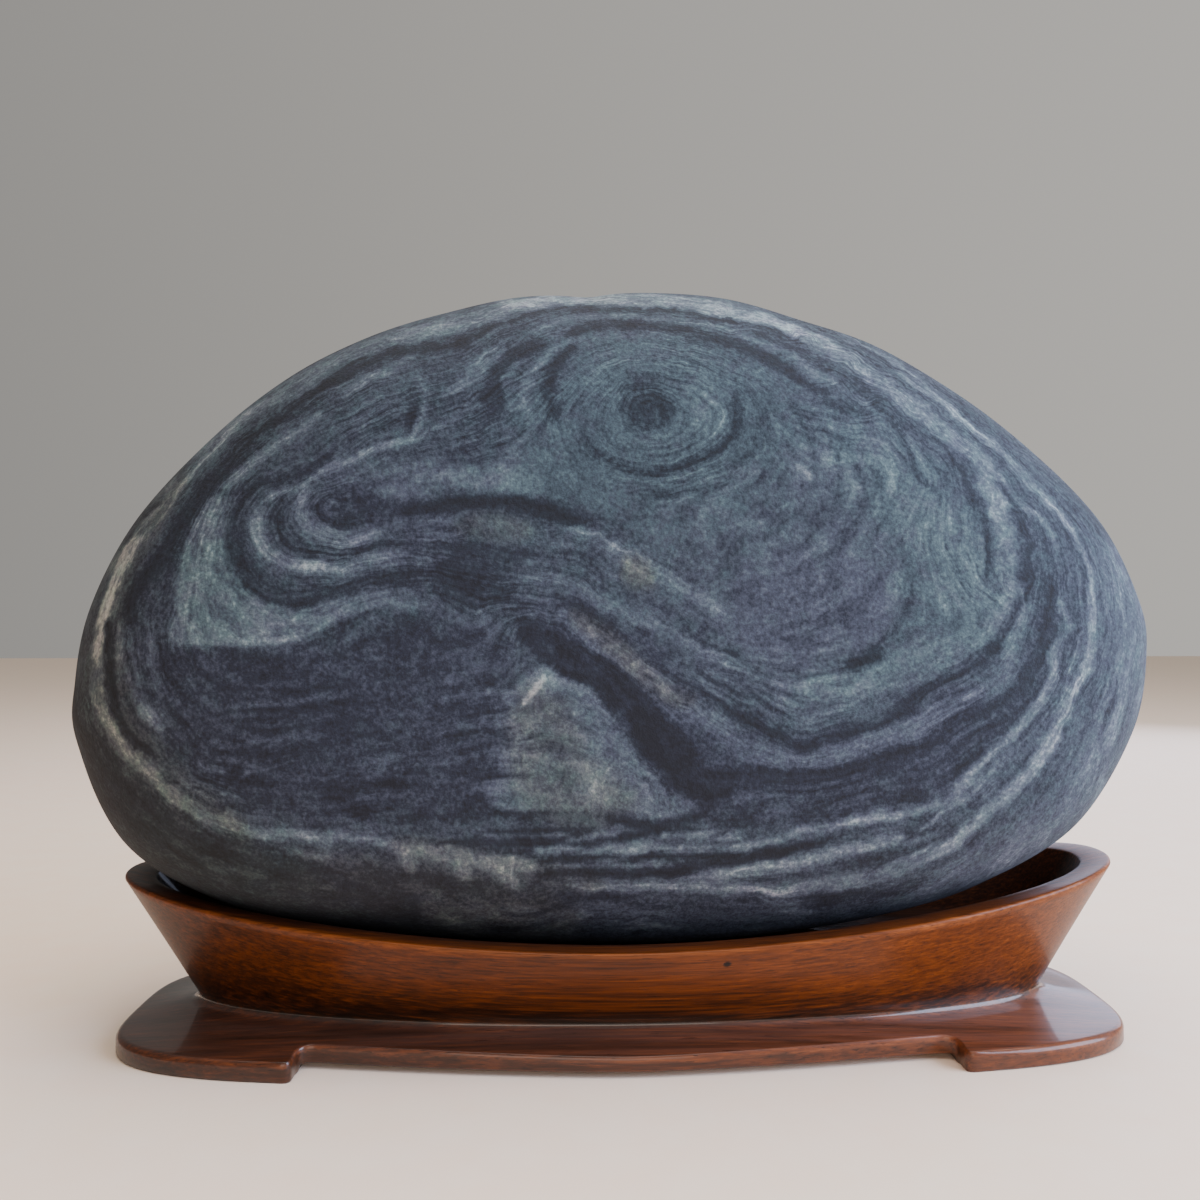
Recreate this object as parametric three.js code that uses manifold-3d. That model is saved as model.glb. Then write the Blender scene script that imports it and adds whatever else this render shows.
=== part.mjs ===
// A river-worn painting stone on its carved hardwood stand.
// Millimetres, +Z up. X runs along the stone's width and Y away from the viewer. The origin is on
// the surface the stand rests on, under the middle of the stone.
import * as THREE from "three";
import { mergeVertices } from "three/addons/utils/BufferGeometryUtils.js";
import Module from "manifold-3d";

const wasm = await Module();
wasm.setup();

// The stone: its outline seen from the front, clockwise from the top, as [x, z].
const STONE_OUTLINE = [
  [13, 270], [39, 268], [65, 261], [93, 251], [121, 235], [149, 214], [177, 186],
  [191.5, 158], [194.8, 138], [189.5, 108], [168, 73.5], [132, 52], [97, 41], [55, 34],
  [12, 31], [-37, 32.5], [-99, 38], [-140, 47], [-177, 69], [-194.5, 106], [-195.1, 128],
  [-189.5, 155], [-174, 185], [-148, 214], [-121, 236], [-93, 251], [-65, 261], [-39, 267.5],
  [-13, 269],
];
const STONE_CENTRE_Z = 148;
const STONE_HALF_DEPTH = 68;
const FACE_FULLNESS = 4; // power of the depth curve: 2 is an ellipsoid, more is flatter
const FULLNESS_AT_ENDS = 2; // added towards the two long ends, so that the rim rolls over evenly
const STONE_STEPS_ROUND = 84;
const STONE_STEPS_DEEP = 22;

// The stand: one carved piece, a boat-shaped tray on a plate with a broad foot at each end.
const STAND_CENTRE_X = 2.5;
const RIM_HALF_LENGTH = 182.8;
const RIM_HALF_DEPTH = 62.8;
const RIM_POWER = 2.2; // superellipse power: 2 is an ellipse, more is boxier
const RIM_MIDDLE_Z = 42.5;
const RIM_END_RISE = 17.5;
const RIM_RISE_POWER = 1.75;
const RIM_TILT = 1.5; // the right end is carved this much higher, and the left end lower
const RIM_WIDTH = 11;
const RIM_EDGE_ROUND = 1.4;
const WALL_FOOT_HALF_LENGTH = 157.5;
const WALL_FOOT_HALF_DEPTH = 42.5;
const WALL_FOOT_POWER = 2;
const WALL_FOOT_Z = 13;
const COVE = 4; // how far the hollow sweep from the wall's foot reaches out over the plate
const COVE_HEIGHT = 3;
const COVE_END_OUT = 0.1; // where the sweep has turned into the wall: this much outside the foot's oval
const COVE_END_UP = 1; // and this much above it
const TRAY_FLOOR_Z = 33;
const TRAY_FLOOR_INSET = 2; // the floor's outline inside the wall's foot
const PLATE_HALF_LENGTH = 180.5;
const PLATE_HALF_DEPTH = 60;
const PLATE_POWER = 3.8;
const PLATE_EDGE_Z = 6.8;
const PLATE_EDGE_ROUND = 2.4;
const FOOT_INNER_X = 111; // half the gap between the two feet
const NOTCH_MIDDLE_Y = 58; // the plate's edge between the feet, at the middle
const NOTCH_DEEPEST = 13; // and how much further in it is beside a foot
const NOTCH_POWER = 1.5;
const NOTCH_CORNER = 5;
const NOTCH_STEPS = 12;
const NOTCH_CORNER_STEPS = 4;
const RELIEF = 2.3; // the plate's middle is clear of the surface by this much
const STAND_STEPS = 96;
const ROUND_SHARE = 0.3; // a rounding's middle ring lies this share of its radius in from the corner
const CUT_PAST = 10; // the shapes that cut the stand run on this far outside it
const CUT_BELOW = 1;

const SEAT_GAP = 0.45; // clearance between the stone and the seat carved for it
const SEAT_REACH = new THREE.Vector3(190, 62, 105); // from the stone's middle out to its seat
const SEAT_GROWTH = new THREE.Vector3(SEAT_GAP, SEAT_GAP, SEAT_GAP).divide(SEAT_REACH);
const WELD = 1e-4;

// A closed skin over rings of equal length, with a point closing each end.
function skin(rings, start, end) {
  const count = rings[0].length;
  const points = [start, ...rings.flat(), end];
  const triangles = [];
  const at = (ring, i) => 1 + ring * count + (i % count);
  for (let i = 0; i < count; i++) triangles.push(0, at(0, i + 1), at(0, i));
  for (let ring = 0; ring < rings.length - 1; ring++)
    for (let i = 0; i < count; i++) {
      triangles.push(at(ring, i), at(ring, i + 1), at(ring + 1, i + 1));
      triangles.push(at(ring, i), at(ring + 1, i + 1), at(ring + 1, i));
    }
  const last = rings.length - 1;
  for (let i = 0; i < count; i++) triangles.push(points.length - 1, at(last, i), at(last, i + 1));
  const geometry = new THREE.BufferGeometry().setFromPoints(points);
  geometry.setIndex(triangles);
  return geometry;
}

function toSolid(geometry) {
  const bare = geometry.clone();
  bare.deleteAttribute("normal");
  bare.deleteAttribute("uv");
  const merged = mergeVertices(bare, WELD);
  return new wasm.Manifold(
    new wasm.Mesh({
      numProp: 3,
      vertProperties: merged.attributes.position.array,
      triVerts: new Uint32Array(merged.index.array),
    }),
  );
}

function toGeometry(solid) {
  const mesh = solid.getMesh();
  const geometry = new THREE.BufferGeometry();
  geometry.setAttribute("position", new THREE.BufferAttribute(mesh.vertProperties, 3));
  geometry.setIndex(new THREE.BufferAttribute(mesh.triVerts, 1));
  geometry.computeVertexNormals();
  return geometry;
}

// The stone: rings stacked from the front face to the back face, each one the outline drawn in
// towards the stone's middle.
function stoneGeometry() {
  const corners = STONE_OUTLINE.map(([x, z]) => new THREE.Vector3(x, 0, z));
  const curve = new THREE.CatmullRomCurve3(corners, true, "centripetal");
  const outline = curve.getSpacedPoints(STONE_STEPS_ROUND).slice(0, -1);
  const centre = new THREE.Vector3(0, 0, STONE_CENTRE_Z);
  const rings = [];
  for (let step = 1; step < STONE_STEPS_DEEP; step++) {
    const turn = (Math.PI * step) / STONE_STEPS_DEEP;
    rings.push(
      outline.map((edge) => {
        const arm = edge.clone().sub(centre);
        const endwise = (arm.x / arm.length()) ** 2;
        const power = FACE_FULLNESS + FULLNESS_AT_ENDS * endwise;
        const point = arm.multiplyScalar(Math.sin(turn) ** (2 / power)).add(centre);
        point.y = -STONE_HALF_DEPTH * Math.cos(turn);
        return point;
      }),
    );
  }
  const front = new THREE.Vector3(0, -STONE_HALF_DEPTH, STONE_CENTRE_Z);
  const back = new THREE.Vector3(0, STONE_HALF_DEPTH, STONE_CENTRE_Z);
  return skin(rings, front, back);
}

// The stone grown by the seat's clearance, to carve its own seat with.
function seatCutter() {
  const grown = stoneGeometry();
  grown.translate(0, 0, -STONE_CENTRE_Z);
  grown.scale(1 + SEAT_GROWTH.x, 1 + SEAT_GROWTH.y, 1 + SEAT_GROWTH.z);
  grown.translate(0, 0, STONE_CENTRE_Z);
  return toSolid(grown);
}

const signedPower = (value, power) => Math.sign(value) * Math.abs(value) ** power;

// A superellipse ring, counterclockwise from above; heightAt gives z for each x.
function oval(halfLength, halfDepth, power, heightAt) {
  return Array.from({ length: STAND_STEPS }, (_, i) => {
    const turn = (2 * Math.PI * i) / STAND_STEPS;
    const x = halfLength * signedPower(Math.cos(turn), 2 / power);
    const y = halfDepth * signedPower(Math.sin(turn), 2 / power);
    return new THREE.Vector3(x, y, heightAt(x));
  });
}

function rimHeight(x) {
  const along = x / RIM_HALF_LENGTH;
  return RIM_MIDDLE_Z + RIM_END_RISE * Math.abs(along) ** RIM_RISE_POWER + RIM_TILT * along;
}

const plateRing = (inset, z) =>
  oval(PLATE_HALF_LENGTH - inset, PLATE_HALF_DEPTH - inset, PLATE_POWER, () => z);
const wallFootRing = (outset, z) =>
  oval(WALL_FOOT_HALF_LENGTH + outset, WALL_FOOT_HALF_DEPTH + outset, WALL_FOOT_POWER, () => z);
const rimRing = (inset, drop) =>
  oval(RIM_HALF_LENGTH - inset, RIM_HALF_DEPTH - inset, RIM_POWER, (x) => rimHeight(x) - drop);

// The stand's outside, from the surface it rests on up to the top of the rim.
function standOutside() {
  const edge = PLATE_EDGE_ROUND;
  const rings = [
    plateRing(0, 0),
    plateRing(0, PLATE_EDGE_Z - edge),
    plateRing(ROUND_SHARE * edge, PLATE_EDGE_Z - ROUND_SHARE * edge),
    plateRing(edge, PLATE_EDGE_Z),
    wallFootRing(COVE, WALL_FOOT_Z - COVE_HEIGHT),
    wallFootRing(ROUND_SHARE * COVE, WALL_FOOT_Z - ROUND_SHARE * COVE),
    wallFootRing(COVE_END_OUT, WALL_FOOT_Z + COVE_END_UP),
    rimRing(0, RIM_EDGE_ROUND),
    rimRing(RIM_EDGE_ROUND, 0),
    rimRing(RIM_WIDTH, 0),
  ];
  const under = new THREE.Vector3(0, 0, 0);
  const over = new THREE.Vector3(0, 0, RIM_MIDDLE_Z);
  return toSolid(skin(rings, under, over));
}

// The tray's hollow, running on past the rim so that it cuts clean through.
function trayHollow() {
  const inset = -TRAY_FLOOR_INSET;
  const above = RIM_MIDDLE_Z + 2 * RIM_END_RISE;
  const rings = [
    wallFootRing(inset, TRAY_FLOOR_Z),
    rimRing(RIM_WIDTH, 0),
    oval(RIM_HALF_LENGTH - RIM_WIDTH, RIM_HALF_DEPTH - RIM_WIDTH, RIM_POWER, () => above),
  ];
  const floor = new THREE.Vector3(0, 0, TRAY_FLOOR_Z);
  return toSolid(skin(rings, floor, new THREE.Vector3(0, 0, above)));
}

// The recess in the plate's front edge between the feet, seen from above, cut down to the surface.
function frontNotch() {
  const recess = (x) => -NOTCH_MIDDLE_Y + NOTCH_DEEPEST * (Math.abs(x) / FOOT_INNER_X) ** NOTCH_POWER;
  const outline = new THREE.Shape();
  const past = -PLATE_HALF_DEPTH - CUT_PAST;
  const corner = FOOT_INNER_X - NOTCH_CORNER;
  outline.moveTo(-FOOT_INNER_X, past);
  outline.lineTo(FOOT_INNER_X, past);
  outline.lineTo(FOOT_INNER_X, recess(corner) - NOTCH_CORNER);
  outline.quadraticCurveTo(FOOT_INNER_X, recess(corner), corner, recess(corner));
  for (let i = 1; i < NOTCH_STEPS; i++) {
    const x = corner * (1 - (2 * i) / NOTCH_STEPS);
    outline.lineTo(x, recess(x));
  }
  outline.lineTo(-corner, recess(corner));
  outline.quadraticCurveTo(-FOOT_INNER_X, recess(corner), -FOOT_INNER_X, recess(corner) - NOTCH_CORNER);
  outline.closePath();
  const depth = WALL_FOOT_Z + CUT_BELOW;
  const options = { depth, bevelEnabled: false, curveSegments: NOTCH_CORNER_STEPS };
  const prism = new THREE.ExtrudeGeometry(outline, options);
  prism.translate(0, 0, -CUT_BELOW);
  return toSolid(prism);
}

function standGeometry() {
  const notch = frontNotch();
  const through = 2 * (PLATE_HALF_DEPTH + CUT_PAST);
  const relief = new THREE.BoxGeometry(2 * FOOT_INNER_X, through, 2 * RELIEF);
  const carved = standOutside()
    .subtract(trayHollow())
    .subtract(notch)
    .subtract(notch.rotate([0, 0, 180]))
    .subtract(toSolid(relief))
    .translate([STAND_CENTRE_X, 0, 0])
    .subtract(seatCutter());
  return toGeometry(carved);
}

const stoneLook = new THREE.MeshStandardMaterial({ color: 0x4b555e, roughness: 0.85, metalness: 0 });
const woodLook = new THREE.MeshStandardMaterial({ color: 0x6b3a22, roughness: 0.4, metalness: 0 });

const stone = new THREE.Mesh(toGeometry(toSolid(stoneGeometry())), stoneLook);
stone.name = "stone";

const stand = new THREE.Mesh(standGeometry(), woodLook);
stand.name = "stand";

const paintingStone = new THREE.Group();
paintingStone.add(stone, stand);

export default paintingStone;
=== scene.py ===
# %% [markdown]
# # A painting stone on its carved stand
#
# Painting stones come out of big rivers. A flat lump of laminated siltstone is rolled among gravel
# until it is a smooth oval, and the rolling cuts slantwise through its folded layers, so that they
# show as rings, bands and hooks like brushwork. This one shows a moon, a sweeping slope and a pale
# peak. A carver then cut a boat-shaped tray in reddish hardwood to hold it upright.
#
# Everything is built here in metres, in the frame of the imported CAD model.

# %% Load the frame
import math

import bpy
import numpy as np
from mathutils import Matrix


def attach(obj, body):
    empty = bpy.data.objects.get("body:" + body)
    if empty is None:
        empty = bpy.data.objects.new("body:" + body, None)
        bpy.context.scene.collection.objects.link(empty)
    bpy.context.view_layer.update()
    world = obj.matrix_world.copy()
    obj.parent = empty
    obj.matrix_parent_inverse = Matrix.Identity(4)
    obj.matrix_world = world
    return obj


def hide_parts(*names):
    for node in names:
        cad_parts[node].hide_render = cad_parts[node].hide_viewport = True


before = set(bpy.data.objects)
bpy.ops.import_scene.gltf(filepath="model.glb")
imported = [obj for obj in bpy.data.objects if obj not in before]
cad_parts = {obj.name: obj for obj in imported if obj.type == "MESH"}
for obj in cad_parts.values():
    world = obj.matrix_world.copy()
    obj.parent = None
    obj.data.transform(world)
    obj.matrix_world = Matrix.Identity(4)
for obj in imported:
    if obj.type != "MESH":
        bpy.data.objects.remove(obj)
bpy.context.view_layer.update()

# %% [markdown]
# ## The stone's body
#
# A river rounds a slab evenly, so the body is one outline drawn in along a curve of depth. The
# curve is flatter than an ellipse: the faces are broad, and the rim rolls over quickly. A sculpted
# or subdivided lump would do too, but this way the stone keeps the CAD model's sizes exactly, and
# every point of it is worked out from two angles.

# %% The stone's sizes, in millimetres, the same as the CAD model's
STONE_OUTLINE = [
    (13, 270), (39, 268), (65, 261), (93, 251), (121, 235), (149, 214), (177, 186),
    (191.5, 158), (194.8, 138), (189.5, 108), (168, 73.5), (132, 52), (97, 41), (55, 34),
    (12, 31), (-37, 32.5), (-99, 38), (-140, 47), (-177, 69), (-194.5, 106), (-195.1, 128),
    (-189.5, 155), (-174, 185), (-148, 214), (-121, 236), (-93, 251), (-65, 261), (-39, 267.5),
    (-13, 269),
]
STONE_CENTRE_Z = 148
STONE_HALF_LENGTH, STONE_HALF_DEPTH, STONE_HALF_HEIGHT = 195, 68, 122
FACE_FULLNESS = 4
FULLNESS_AT_ENDS = 2
print("outline drawn through", len(STONE_OUTLINE), "points")


# %% A smooth curve through points
def through(points, steps, closed=False):
    """A smooth curve through the points, with this many steps from each to the next."""
    p = np.array(points, float)
    if len(p) < 3:
        return p
    ends = (p[-1:], p[:2]) if closed else (2 * p[:1] - p[1:2], 2 * p[-1:] - p[-2:-1])
    q = np.vstack([ends[0], p, ends[1]])
    t = (np.arange(steps) / steps)[:, None]
    curve = []
    for a, b, c, d in zip(q, q[1:], q[2:], q[3:]):
        curve.append(
            (2 * b + (c - a) * t + (2 * a - 5 * b + 4 * c - d) * t**2 + (3 * b - a - 3 * c + d) * t**3) / 2
        )
    return np.vstack(curve if closed else curve + [p[-1:]])


outline = through(STONE_OUTLINE, 24, closed=True) - (0, STONE_CENTRE_Z)
outline_angle = np.arctan2(outline[:, 1], outline[:, 0])
order = np.argsort(outline_angle)
outline_reach = np.hypot(outline[:, 0], outline[:, 1])[order]
outline_angle = outline_angle[order]
print("outline from", outline.min(0).round(1), "to", outline.max(0).round(1), "mm")


# %% Points on the stone's surface
def stone_point(angle, turn):
    """A point on the stone: angle goes round the outline, turn from the front face (0) to the back."""
    reach = np.interp(angle, outline_angle, outline_reach, period=2 * math.pi)
    power = FACE_FULLNESS + FULLNESS_AT_ENDS * np.cos(angle) ** 2
    drawn = reach * np.abs(np.sin(turn)) ** (2 / power)
    y = -STONE_HALF_DEPTH * np.cos(turn)
    return np.stack([drawn * np.cos(angle), y, STONE_CENTRE_Z + drawn * np.sin(angle)], -1)


# turn_at: for each of these directions, the turn at even steps along the surface to the rim.
DIRECTIONS, ALONG, FINE = 256, 400, 1200
directions = np.linspace(-math.pi, math.pi, DIRECTIONS)
fine_turn = (np.linspace(0, 1, FINE) ** 2) * math.pi / 2
turn_at = []
for angle in directions:
    walked = stone_point(np.full(FINE, angle), fine_turn)
    lengths = np.r_[0, np.cumsum(np.linalg.norm(np.diff(walked, axis=0), axis=1))]
    turn_at.append(np.interp(np.linspace(0, lengths[-1], ALONG), lengths, fine_turn))
turn_at = np.array(turn_at)


def turn_for(angle, fraction):
    """The turn that lies this fraction of the way along the surface from the face to the rim."""
    row = (angle + math.pi) / (2 * math.pi) * (DIRECTIONS - 1)
    column = np.clip(fraction, 0, 1) * (ALONG - 1)
    r, c = np.minimum(row.astype(int), DIRECTIONS - 2), np.minimum(column.astype(int), ALONG - 2)
    fr, fc = row - r, column - c
    near = turn_at[r, c] * (1 - fc) + turn_at[r, c + 1] * fc
    far = turn_at[r + 1, c] * (1 - fc) + turn_at[r + 1, c + 1] * fc
    return near * (1 - fr) + far * fr


print("from the face's middle to the rim in", ALONG, "steps, for", DIRECTIONS, "directions")

# %% [markdown]
# ### A fine front and a coarser back
#
# The markings are values at the grid's corners, so the front needs a corner about every millimetre.
# The back is seen less, and two millimetres do there. A grid bent to a disc has cells of even size,
# where rings around a centre would crowd there.

# %% The front's grid and the back's grid
ACROSS, UP = 350, 200


def face_patch(across, up):
    """A square grid bent to a disc: for each of its corners, the angle and how far out it lies (0 to 1)."""
    s, t = np.meshgrid(np.linspace(-1, 1, across + 1), np.linspace(-1, 1, up + 1))
    disc_x, disc_z = s * np.sqrt(1 - t**2 / 2), t * np.sqrt(1 - s**2 / 2)
    return np.arctan2(disc_z * STONE_HALF_HEIGHT, disc_x * STONE_HALF_LENGTH), np.hypot(disc_x, disc_z)


angle, fraction = face_patch(ACROSS, UP)
front_points = stone_point(angle, turn_for(angle, fraction)).reshape(-1, 3)
grid = np.arange((UP + 1) * (ACROSS + 1)).reshape(UP + 1, ACROSS + 1)
faces = np.stack([grid[:-1, :-1], grid[:-1, 1:], grid[1:, 1:], grid[1:, :-1]], -1).reshape(-1, 4).tolist()
# The back's grid is half as fine and shares every second corner of the front's edge.
angle, fraction = face_patch(ACROSS // 2, UP // 2)
back_points = stone_point(angle, math.pi - turn_for(angle, fraction))[1:-1, 1:-1].reshape(-1, 3)
grid_back = grid[::2, ::2].copy()
grid_back[1:-1, 1:-1] = len(front_points) + np.arange(len(back_points)).reshape(UP // 2 - 1, -1)
# A back cell at the edge also takes the front's corner halfway along it, so that no gap is left.
edge = np.r_[grid[0, :-1], grid[:-1, -1], grid[-1, :0:-1], grid[:0:-1, 0]].tolist()
halfway = {frozenset((edge[i - 1], edge[(i + 1) % len(edge)])): edge[i] for i in range(1, len(edge), 2)}
cells = [grid_back[:-1, :-1], grid_back[1:, :-1], grid_back[1:, 1:], grid_back[:-1, 1:]]
for cell in np.stack(cells, -1).reshape(-1, 4).tolist():
    corners = []
    for a, b in zip(cell, cell[1:] + cell[:1]):
        corners.append(a)
        if frozenset((a, b)) in halfway:
            corners.append(halfway[frozenset((a, b))])
    faces.append(corners)
stone_points = np.vstack([front_points, back_points])
print("stone:", len(stone_points), "points,", len(faces), "faces")


# %% Worn unevenness, under a millimetre, and a small dent in the crown
def lattice_noise(size, seed, *where):
    """Smooth noise from -0.5 to 0.5 in two or three dimensions, with lumps of the given size."""
    table = np.random.default_rng(seed).random((64,) * len(where)) - 0.5
    cells = [np.floor(w / size).astype(int) for w in where]
    parts = [w / size - c for w, c in zip(where, cells)]
    eased = [f * f * (3 - 2 * f) for f in parts]
    total = 0
    for corner in np.ndindex(*(2,) * len(where)):
        weight = 1
        for step, f in zip(corner, eased):
            weight = weight * (f if step else 1 - f)
        total = total + weight * table[tuple((c + step) % 64 for c, step in zip(cells, corner))]
    return total


def smoothstep(low, high, value):
    """Eases from 0 at low to 1 at high."""
    f = np.clip((value - low) / (high - low), 0, 1)
    return f * f * (3 - 2 * f)


x, y, z = stone_points.T
# The noise is read at places moved by 300 mm, which keeps them all above zero.
position = x + 300, y + 300, z
uneven = 1.1 * lattice_noise(70, 5, *position) + 0.5 * lattice_noise(28, 6, *position)
# None where the stone meets its bed, and none on the crown, whose height is a size of the model.
uneven *= smoothstep(60, 95, z) * (1 - smoothstep(255, 268, z))
dent = np.exp(-(((x + 12) / 7) ** 2) - ((y + 22) / 30) ** 2) * smoothstep(250, 262, z)
half_sizes = np.array([STONE_HALF_LENGTH, STONE_HALF_DEPTH, STONE_HALF_HEIGHT])
outward = (stone_points - (0, 0, STONE_CENTRE_Z)) / half_sizes**2
outward /= np.linalg.norm(outward, axis=1)[:, None]
stone_points += outward * (uneven - 0.9 * dent)[:, None]
print("moved by", round(float(uneven.min()), 2), "to", round(float(uneven.max()), 2), "mm")

# %% [markdown]
# ## The markings
#
# The layers crop out as bands. They are traced from the photograph: areas first, then strokes
# on top, each with a tone from 0 (black) to 1 (white) and a width. Their points are pixels of the
# 1200 by 1200 photograph, read off enlargements of it under a grid, x to the right and y down. The
# photograph counts as a sheet 385 mm in front of the eye, three pixels to the millimetre, and each
# point of the stone looks up the place on the sheet that it is seen through. Noise alone could give
# bands, but not these bands in these places, and traced bands stay sharp and can be moved one by one.

# %% Where each point lies on the sheet
EYE_X, EYE_Y, EYE_Z, EYE_TURN = -17.4, -434.7, 155, 0.04
SHEET_SCALE, SHEET_X, SHEET_Y = 1155, 618, 605


def on_sheet(points):
    """The sheet's x and y for points on the front. A point on the back takes its mirror image."""
    dx, dy, dz = points[:, 0] - EYE_X, -np.abs(points[:, 1]) - EYE_Y, points[:, 2] - EYE_Z
    side = dx * math.cos(EYE_TURN) - dy * math.sin(EYE_TURN)
    away = dx * math.sin(EYE_TURN) + dy * math.cos(EYE_TURN)
    return SHEET_X + SHEET_SCALE * side / away, SHEET_Y - SHEET_SCALE * dz / away


sheet_x, sheet_y = on_sheet(stone_points)
print("the stone takes up", int(np.ptp(sheet_x)), "by", int(np.ptp(sheet_y)), "units of the sheet")

# %% Areas: name, tone, softness of the edge, corners
# Some of these tones are painted light and shade as well as layers: the left end and the foot are painted
# darker where the stone turns away from the light, and the right flank lighter where it faces it.
AREAS = [
    ("ground", 0.3, 30, [(60, 640), (120, 500), (260, 370), (420, 310), (640, 285), (860, 330), (1020, 440),
        (1130, 560), (1150, 680), (1080, 840), (900, 930), (600, 950), (300, 930), (120, 860)]),
    ("upper middle, green grey", 0.4, 34, [(520, 440), (590, 330), (700, 325), (800, 370), (900, 440),
        (960, 520), (985, 600), (950, 650), (860, 700), (760, 650), (640, 560), (560, 500)]),
    ("right interior, pale", 0.52, 16, [(820, 420), (880, 430), (930, 490), (980, 530), (990, 600),
        (960, 645), (900, 675), (830, 700), (800, 690), (905, 640), (925, 600), (905, 545), (870, 500),
        (820, 470)]),
    ("purple hollow above the trough", 0.39, 20, [(740, 575), (790, 556), (850, 548), (895, 560),
        (905, 600), (885, 640), (840, 665), (780, 662), (730, 630)]),
    ("dark shore, lower left", 0.22, 16, [(140, 640), (300, 642), (345, 628), (430, 618), (500, 635),
        (530, 680), (500, 750), (485, 800), (440, 832), (300, 826), (220, 806), (175, 770), (150, 710)]),
    ("left dark flank", 0.3, 10, [(118, 640), (128, 590), (160, 545), (190, 545), (182, 600), (172, 650),
        (160, 700), (140, 690)]),
    ("left shore pale, the flat", 0.53, 3, [(206, 505), (226, 498), (224, 530), (228, 560), (238, 585),
        (256, 602), (280, 612), (296, 622), (290, 638), (240, 646), (176, 645), (174, 610), (180, 565),
        (190, 535)]),
    # Painted shade: the lower left flank and the foot are darker where the stone turns away from the light
    # and under.
    ("lower left flank, in shade", 0.1, 8, [(62, 690), (84, 745), (110, 775), (150, 800), (185, 822),
        (170, 870), (110, 850), (70, 790), (52, 740)]),
    ("foot of the picture, charcoal", 0.17, 7, [(60, 700), (95, 735), (140, 790), (190, 822), (260, 845),
        (300, 858), (340, 868), (440, 876), (560, 886), (640, 900), (760, 904), (840, 892), (900, 880),
        (960, 868), (1000, 880), (900, 960), (600, 960), (300, 950), (120, 880)]),
    ("lower right slope", 0.22, 12, [(700, 770), (780, 780), (870, 760), (940, 728), (1000, 705),
        (1030, 690), (1010, 740), (960, 785), (900, 808), (830, 820), (740, 825), (690, 800)]),
    ("eye core", 0.19, 9, [(626, 408), (632, 392), (648, 386), (664, 390), (673, 404), (668, 420),
        (652, 428), (634, 422)]),
    ("foot of the picture, middle", 0.34, 8, [(440, 893), (600, 905), (820, 906), (940, 884), (880, 945),
        (600, 955), (440, 945)]),
    # Painted light, in part: the right flank is lighter where the light from the right falls on it.
    ("right outer flank", 0.46, 14, [(1098, 560), (1105, 640), (1092, 720), (1062, 785), (1000, 835),
        (950, 862), (930, 880), (1010, 880), (1100, 800), (1160, 700), (1150, 600), (1120, 540)]),
]
PEAK_AREAS = [
    ("mountain", 0.47, 1.2, [(545, 664), (560, 674), (583, 686), (602, 702), (620, 729), (638, 756),
        (656, 779), (684, 798), (700, 804), (676, 816), (647, 818), (606, 809), (560, 808), (497, 809),
        (490, 797), (484, 781), (500, 776), (497, 756), (510, 744), (512, 728), (500, 716), (492, 700),
        (514, 688)]),
]
print(len(AREAS), "areas, and the peak")

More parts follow.
